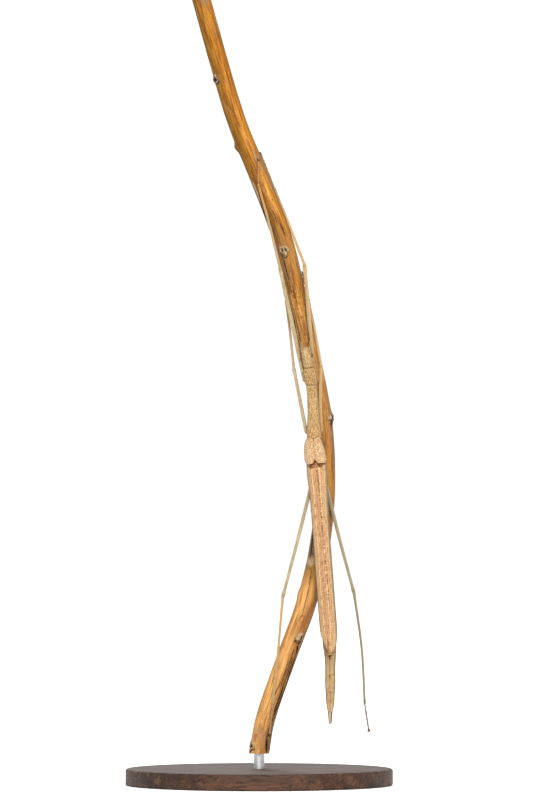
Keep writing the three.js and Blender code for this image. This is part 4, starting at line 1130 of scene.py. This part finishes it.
cover = Finish("cream_wing_cover", Roughness=0.55, Specular_IOR_Level=0.35)
where = cover.lay()
net = cover.cells(where, 0.26, (1, 1, 0.8), "DISTANCE_TO_EDGE")
dots = cover.cells(where, 0.36)
grain = cover.cloud(where, 0.5, (1, 1, 0.6), detail=3)
cover.paint(
    cover.over(cover.between(grain, 0.38, 0.62), tone("b5956e"), tone("c3a783")),
    ("pale", "c2a888"),
    (cover.between(net, 0.16, 0.05, 0, 0.95), "c3b092", "MULTIPLY"),
    (cover.between(dots, 0.3, 0.16, 0, 0.95), "b39b78", "MULTIPLY"),
    ("ruddy", "99682f"),
    # dull olive: painted shade over the outer part of each cover
    ("dull", "7d6a48"),
    # dark: painted shade along the outer edge, and a dark line beside the rib
    ("dark", "2c1f12"),
)
cover.set("Roughness", cover.between(net, 0.03, 0.12, 0.46, 0.62))
cover.relief((grain, 0.05), (cover.between(net, 0.14, 0.02), 0.06))

for side, label in SIDES:
    d = np.concatenate([[21.66, 21.68, 21.72], np.arange(21.8, 27.8, 0.07), [27.82, 27.86, 27.9]])
    rows = np.column_stack([TEGMEN, TEGMEN_SPREAD[side]])
    scale = sheet_over_back(rows, d, side, TEGMEN_COLUMNS, TEGMEN_THICK, tegmen_sculpt, inner=4.0)
    make_piece(f"wing_cover_{label}", [scale], cover, [f"tegmen_{label}"], crease=75)

# ---- Legs ----------------------------------------------------------------
# Six thin jointed legs of pale khaki cuticle. Each has a stout hip joint, a
# ridged thigh with small lobes at the knee, a thinner bristly shin, a foot
# of five short joints and a pad between two dark hooked claws.

# shares of the length, half widths and half heights
THIGHS = {
    "fore": [
        [0, 0.4, 0.34], [0.1, 0.42, 0.36], [0.25, 0.5, 0.47], [0.5, 0.52, 0.49],
        [0.9, 0.43, 0.41], [0.96, 0.52, 0.47], [1, 0.44, 0.4],
    ],
    "mid": [
        [0, 0.42, 0.38], [0.1, 0.45, 0.42], [0.6, 0.42, 0.38],
        [0.88, 0.39, 0.36], [0.95, 0.48, 0.44], [1, 0.4, 0.36],
    ],
    "hind": [
        [0, 0.4, 0.36], [0.1, 0.45, 0.4], [0.6, 0.4, 0.36],
        [0.93, 0.37, 0.35], [0.975, 0.48, 0.44], [1, 0.4, 0.36],
    ],
}
SHIN = [
    [0, 0.38, 0.34], [0.04, 0.34, 0.31], [0.5, 0.31, 0.28],
    [0.94, 0.29, 0.26], [0.985, 0.33, 0.29], [1, 0.29, 0.26],
]
HIP_SIZES = {"fore": 0.56, "mid": 0.5, "hind": 0.5}
FOOT_JOINTS = 0, 0.44, 0.6, 0.72, 0.81, 0.98
CLAW = [[0, 0.13, 0.13], [0.4, 0.11, 0.11], [0.8, 0.06, 0.06], [1, 0.02, 0.02]]
# a claw's course: ahead of the foot's tip, aside and towards what it grips
CLAW_COURSE = (-0.3, 0.12, 0), (0.1, 0.28, -0.05), (0.42, 0.42, 0.02), (0.55, 0.47, 0.2)
PAD_SIZE = 0.26, 0.2, 0.2
BRISTLES, BRISTLE_LENGTH = 22, 0.2
# root on the body; hip and knee in space; ankle and tip by height, bearing and
# lift beside the bark; bows of thigh, shin and foot; how straw-warm the thigh and
# the shin are, and how dull, over the painted shade on their sides and
# undersides. Some legs also say how amber thigh, shin and foot are, how the
# shin's warmth fades downwards and how short its bristles are
LEGS = {
    "fore_left": {
        "root": (7.9, -0.85, -0.7), "hip": (10.7, -3.7, 96.9), "knee": (4.96, -3.55, 123.65),
        "ankle": (143.6, -19, 0.36), "tip": (149.3, 29, 0.4),
        "bows": ((0.1, 0, 0), (0.15, -0.55, 0), (0, -0.24, 0)),
        "thigh": (0.35, 0), "shin": (0.5, 0.3), "amber": (0, 0.9, 0.95),
    },
    "fore_right": {
        "root": (7.9, 0.85, -0.7), "hip": (13.15, -3.3, 96.9), "knee": (10.79, -3.4, 124.5),
        "ankle": (142.9, 106, 0.2), "tip": (151, 100, 0.22),
        "bows": ((0.05, 0, 0), (0.1, 0.8, 0), (0, 0, 0)),
        "thigh": (0.85, 0), "shin": (0.95, 0), "fade": 0.7, "bristle": 0.11,
    },
    "mid_left": {
        "root": (20.6, -1.05, -0.8), "hip": (11.2, -3.75, 84.6), "knee": (8.26, -3.6, 99.66),
        "ankle": (116, -86, 0.36), "tip": (121.1, -84, 0.3),
        "bows": ((0, -0.1, 0), (0.1, -0.3, 0), (0, 0, 0)),
        "thigh": (0.25, 0), "shin": (0.4, 0.2),
    },
    "mid_right": {
        "root": (20.6, 1.05, -0.8), "hip": (14.8, -4.0, 84.9), "knee": (14.78, -3.75, 100.26),
        "ankle": (116.6, 78, 0.34), "tip": (122.4, 82, 0.25),
        "bows": ((-0.24, -0.35, 0), (0.1, -0.3, 0), (0, 0, 0)),
        "thigh": (0.9, 0.25), "shin": (0.85, 0), "amber": (0.2, 0, 0),
    },
    "hind_left": {
        "root": (28.6, -0.7, -0.95), "hip": (13.05, -3.15, 74.3), "knee": (5.61, -4.4, 45.1),
        "ankle": (18.8, 16, 0.38), "tip": (12.3, 38, 0.4),
        "bows": ((0.1, 0, 0), (0.1, -0.5, 0), (0, 0, 0)),
        "thigh": (0.2, 0), "shin": (0.9, 0),
    },
    # this one hangs free, so its ankle and tip are in space too, and grip is
    # only the way that its claws turn
    "hind_right": {
        "root": (28.6, 0.9, -0.95), "hip": (15.4, -3.15, 74.3), "knee": (22.63, -4.4, 46.07),
        "ankle": (25.2, -4.1, 19.6), "tip": (26.15, -4.1, 13.3),
        "bows": ((-0.15, 0, 0), (0.55, 0.1, 0), (0, 0, 0)),
        "thigh": (0, 0.5), "shin": (0, 0.75), "grip": (-0.5, 0.85, 0),
    },
}

khaki = Finish("leg_cuticle", Roughness=0.58, Specular_IOR_Level=0.18)
where = khaki.lay()
dashes = khaki.cloud(where, 0.3, (1, 1, 0.25), detail=3)
drift = khaki.cloud(where, 1.8, (1, 1, 0.4), detail=2)
khaki.paint(
    khaki.over(khaki.between(drift, 0.4, 0.6), tone("82745a"), tone("918468")),
    (khaki.between(dashes, 0.5, 0.64, 0, 0.6), "4a4234", "SCREEN"),
    (khaki.between(dashes, 0.47, 0.36, 0, 0.6), "bdb09a", "MULTIPLY"),
    # dull olive: painted shade on the sides and undersides, and the duller parts that each leg lists
    ("dull", "635a43"),
    ("warm", "98784d"),
    ("amber", "946533"),
    ("pale", "a2957a"),
    ("dark", "2f2113"),
)
khaki.set("Roughness", khaki.between(dashes, 0.35, 0.65, 0.42, 0.6))
khaki.relief((dashes, 0.05))

claw_horn = Finish("claw_horn", Roughness=0.55, Specular_IOR_Level=0.12)
where = claw_horn.lay()
black = claw_horn.over(claw_horn.cloud(where, 0.2), tone("1a1008"), tone("302010"))
claw_horn.paint(claw_horn.over(claw_horn.mark("dark"), tone("5a452c"), black))
claw_horn.relief((claw_horn.cloud(where, 0.1, detail=2), 0.02))


def branch_at(z):
    """The middle of the branch at this height."""
    return branch_line.place(np.interp(z, branch_line.run[:, 2], branch_line.gone))


def beside_bark(z, bearing, lift):
    """A place held off the bark at one height and bearing."""
    here, above = branch_at(z), branch_at(z + 1)
    reach = float(np.interp(z, *BRANCH_RADII)) + lift
    lean, angle = math.hypot(1, above[0] - here[0]), math.radians(bearing)
    return np.array([here[0] + reach * lean * math.sin(angle), here[1] - reach * math.cos(angle), z])


def bristles(line, length, seed):
    """Short stiff hairs, slanting towards the foot, as thin cones."""
    made = []
    turns = np.random.default_rng(seed).uniform(0, 2 * math.pi, BRISTLES)
    for share, turn in zip(np.linspace(0.06, 0.94, BRISTLES), turns):
        d = share * line.length
        heading = line.heading(d)
        up, aside = cross_axes(heading, BACK)
        out = math.cos(turn) * aside + math.sin(turn) * up
        root = line.place(d) + 0.9 * np.interp(share, [0, 0.5, 1], [0.3, 0.26, 0.25]) * out
        course = (0, 0), (0.55, 0.35), (0.8, 0.75)
        spine = Line([root + length * (outward * out + ahead * heading) for outward, ahead in course])
        cone = [[0, 0.035, 0.035], [1, 0.012, 0.012]]
        rings, lay, _ = limb(spine, cone, heading, sides=5, step=0.08, domes=(0.2, 0.5))
        made.append(plain(rings, lay, dark=0.15, warm=0.7))
    return made


def claws(foot, tip, grip):
    """Two hooks and the pad between them, turned towards what they grip."""
    grip = grip / np.linalg.norm(grip)
    heading = foot.heading(foot.length)
    across = np.cross(heading, grip)
    across /= np.linalg.norm(across)
    made = []
    for side, _ in SIDES:
        places = [(ahead, side * aside, down) for ahead, aside, down in CLAW_COURSE]
        claw = Line(tip + places @ np.array([heading, across, grip]))
        rings, lay, _ = limb(claw, CLAW, across, sides=14, step=0.05)
        made.append(plain(rings, lay, dark=soft(lay[..., 2] / claw.length, 0.2, 0.6)))
    pad, lay = ball(0, PAD_SIZE, 16, 20)
    pad = tip + 0.18 * heading + pad @ [across, grip, heading]
    return [*made, plain(pad, lay, dark=0.15)]


for seed, (name, leg) in enumerate(LEGS.items()):
    pair = name.split("_")[0]
    (warm, dull), (shin_warm, shin_dull) = leg["thigh"], leg["shin"]
    thigh_amber, shin_amber, foot_amber = leg.get("amber", (0, 0, 0))
    fade = leg.get("fade", 0)
    root, hip, knee = body_point(*leg["root"]), np.array(leg["hip"]), np.array(leg["knee"])
    free = "grip" in leg
    ankle, tip = (np.array(leg[end]) if free else beside_bark(*leg[end]) for end in ("ankle", "tip"))
    runs = (hip, knee), (knee, ankle), (ankle, tip)
    thigh, shin, foot = (Line([a, (a + b) / 2 + bow, b]) for (a, b), bow in zip(runs, leg["bows"]))

    hip_size, neck = HIP_SIZES[pair], THIGHS[pair][0][1] + 0.02
    hip_sizes = [[0, hip_size, hip_size], [0.6, hip_size, hip_size], [1, neck, neck]]
    hip_line = Line([root, (root + hip) / 2, hip])
    rings, lay, _ = limb(hip_line, hip_sizes, BACK, step=0.1, domes=(0.2, 0.9), joints=(0.72,), ring=0.02)
    skin = plain(rings, lay, dark=0.35 * stripe(lay[..., 2], lay[..., 2].max() * 0.7, 0.16), warm=warm)
    make_piece(f"hip_{name}", [skin], khaki, [f"coxa_{name}"])

    seam = 0.05
    sizes = THIGHS[pair]
    rings, lay, turn = limb(thigh, sizes, BACK, ridges=0.05, domes=(0.4, 0.8), joints=(seam,), ring=0.02)
    share, ridges = lay[..., 2] / thigh.length, np.cos(4 * turn + math.pi) > 0.8
    dark = 0.35 * stripe(share, seam + 0.012, 0.012) + 0.15 * stripe(share, 0.985, 0.012)
    dark = dark + 0.12 * soft(share, 0.95, 0.975) * (np.sin(turn) > 0.5)
    skin = plain(rings, lay, dark=dark, pale=0.35 * ridges, dull=dull, warm=warm, amber=thigh_amber)
    make_piece(f"thigh_{name}", [skin], khaki, [f"femur_{name}"])

    knee_ring = {"joints": (0.03,), "ring": 0.012}
    rings, lay, turn = limb(shin, SHIN, BACK, sides=24, ridges=0.05, domes=(0.7, 0.6), **knee_ring)
    share, ridges = lay[..., 2] / shin.length, np.cos(4 * turn + math.pi) > 0.8
    dots = soft(ripple(lay * [0, 0, 1], 0.5, seed), 0.1, 0.35) * (np.sin(turn) < -0.3)
    amber = shin_amber * soft(share, 0.35, 0.95)
    faded = shin_warm * (1 - fade * soft(share, 0.5, 0.85))
    dark, pale = 0.4 * stripe(share, 0.975, 0.02) + 0.12 * dots, 0.3 * ridges * (1 - amber)
    skin = plain(rings, lay, dark=dark, pale=pale, dull=shin_dull, warm=faded, amber=amber)
    hairs = bristles(shin, leg.get("bristle", BRISTLE_LENGTH), seed)
    make_piece(f"shin_{name}", [skin, *hairs], khaki, [f"tibia_{name}"])

    joints = []
    for start, stop in zip(FOOT_JOINTS, FOOT_JOINTS[1:]):
        wide = 0.27 if stop == FOOT_JOINTS[-1] else 0.25
        sizes = [[0, 0.17, 0.18], [0.55, 0.2, 0.2], [0.85, wide, 0.23], [1, wide - 0.04, 0.2]]
        cut = start * foot.length + 0.02, stop * foot.length
        rings, lay, _ = limb(foot, sizes, BACK, sides=20, step=0.08, domes=(0.5, 0.5), cut=cut)
        dark = 0.15 + 0.3 * soft(lay[..., 2], cut[1] - 0.12, cut[1] + 0.05)
        foot_warm = 0.9 * shin_warm * (1 - fade)
        joints.append(plain(rings, lay, dark=dark, dull=0.6, warm=foot_warm, amber=foot_amber))
    make_piece(f"foot_{name}", joints, khaki, [f"tarsus_{name}"])
    grip = np.array(leg["grip"]) if free else branch_at(tip[2]) - tip
    make_piece(f"claws_{name}", claws(foot, tip, grip), claw_horn, [f"tarsus_{name}"])

# ---- Studio --------------------------------------------------------------
# A white floor and a white surround, with one large soft light from the
# front, a little to the right and above, and weaker ones to the left
# and behind. The camera looks level along +Y.
FLOOR_REACH = 9
MIDDLE = 0, 0, 0.09
# name, place, diameter and power
SOFTBOXES = [
    ("softbox_key", (0.2, -1.35, 0.85), 0.55, 25),
    ("softbox_fill", (-0.6, -1.35, 0.5), 0.7, 4),
    ("softbox_back", (-0.3, 1.3, 1.2), 0.7, 9),
]
# the height in view at the body's depth, how far off the camera stands, and
# the point that it looks at
VIEW_TALL, VIEW_FROM = 190.96 * MM, 2.0
VIEW_X, VIEW_DEPTH, VIEW_Z = 1.86 * MM, -4 * MM, 92.14 * MM
SENSOR = 36

floor_mesh = bpy.data.meshes.new("studio_floor")
corners = [(x * FLOOR_REACH, y * FLOOR_REACH, 0) for x, y in ((-1, -1), (1, -1), (1, 1), (-1, 1))]
floor_mesh.from_pydata(corners, [], [(0, 1, 2, 3)])
paper = Finish("white_paper", Roughness=0.9, Specular_IOR_Level=0.1)
fleck = paper.cloud(paper.add("TexCoord").outputs["Object"], 0.02, detail=2)
paper.paint(paper.over(fleck, tone("f8f8f8"), tone("fcfcfc")))
floor_mesh.materials.append(paper.material)
floor = bpy.data.objects.new("studio_floor", floor_mesh)
bpy.context.scene.collection.objects.link(floor)

surround = bpy.data.worlds.new("white_surround")
surround.use_nodes = True
surround.node_tree.nodes["Background"].inputs["Color"].default_value = (1, 1, 1, 1)
surround.node_tree.nodes["Background"].inputs["Strength"].default_value = 1.06
bpy.context.scene.world = surround

for name, place, size, power in SOFTBOXES:
    light = bpy.data.lights.new(name, "AREA")
    light.shape, light.size, light.energy = "DISK", size, power
    lamp = bpy.data.objects.new(name, light)
    lamp.location = place
    lamp.rotation_euler = (Vector(MIDDLE) - Vector(place)).to_track_quat("-Z", "Y").to_euler()
    bpy.context.scene.collection.objects.link(lamp)

lens = bpy.data.cameras.new("camera")
lens.sensor_fit = "VERTICAL"
lens.sensor_width = lens.sensor_height = SENSOR
lens.lens = SENSOR * VIEW_FROM / VIEW_TALL
lens.clip_start, lens.clip_end = 0.1, 30
camera = bpy.data.objects.new("camera", lens)
camera.location = (VIEW_X, VIEW_DEPTH - VIEW_FROM, VIEW_Z)
camera.rotation_euler = (math.pi / 2, 0, 0)
bpy.context.scene.collection.objects.link(camera)
bpy.context.scene.camera = camera
bpy.context.scene.view_settings.view_transform = "Standard"
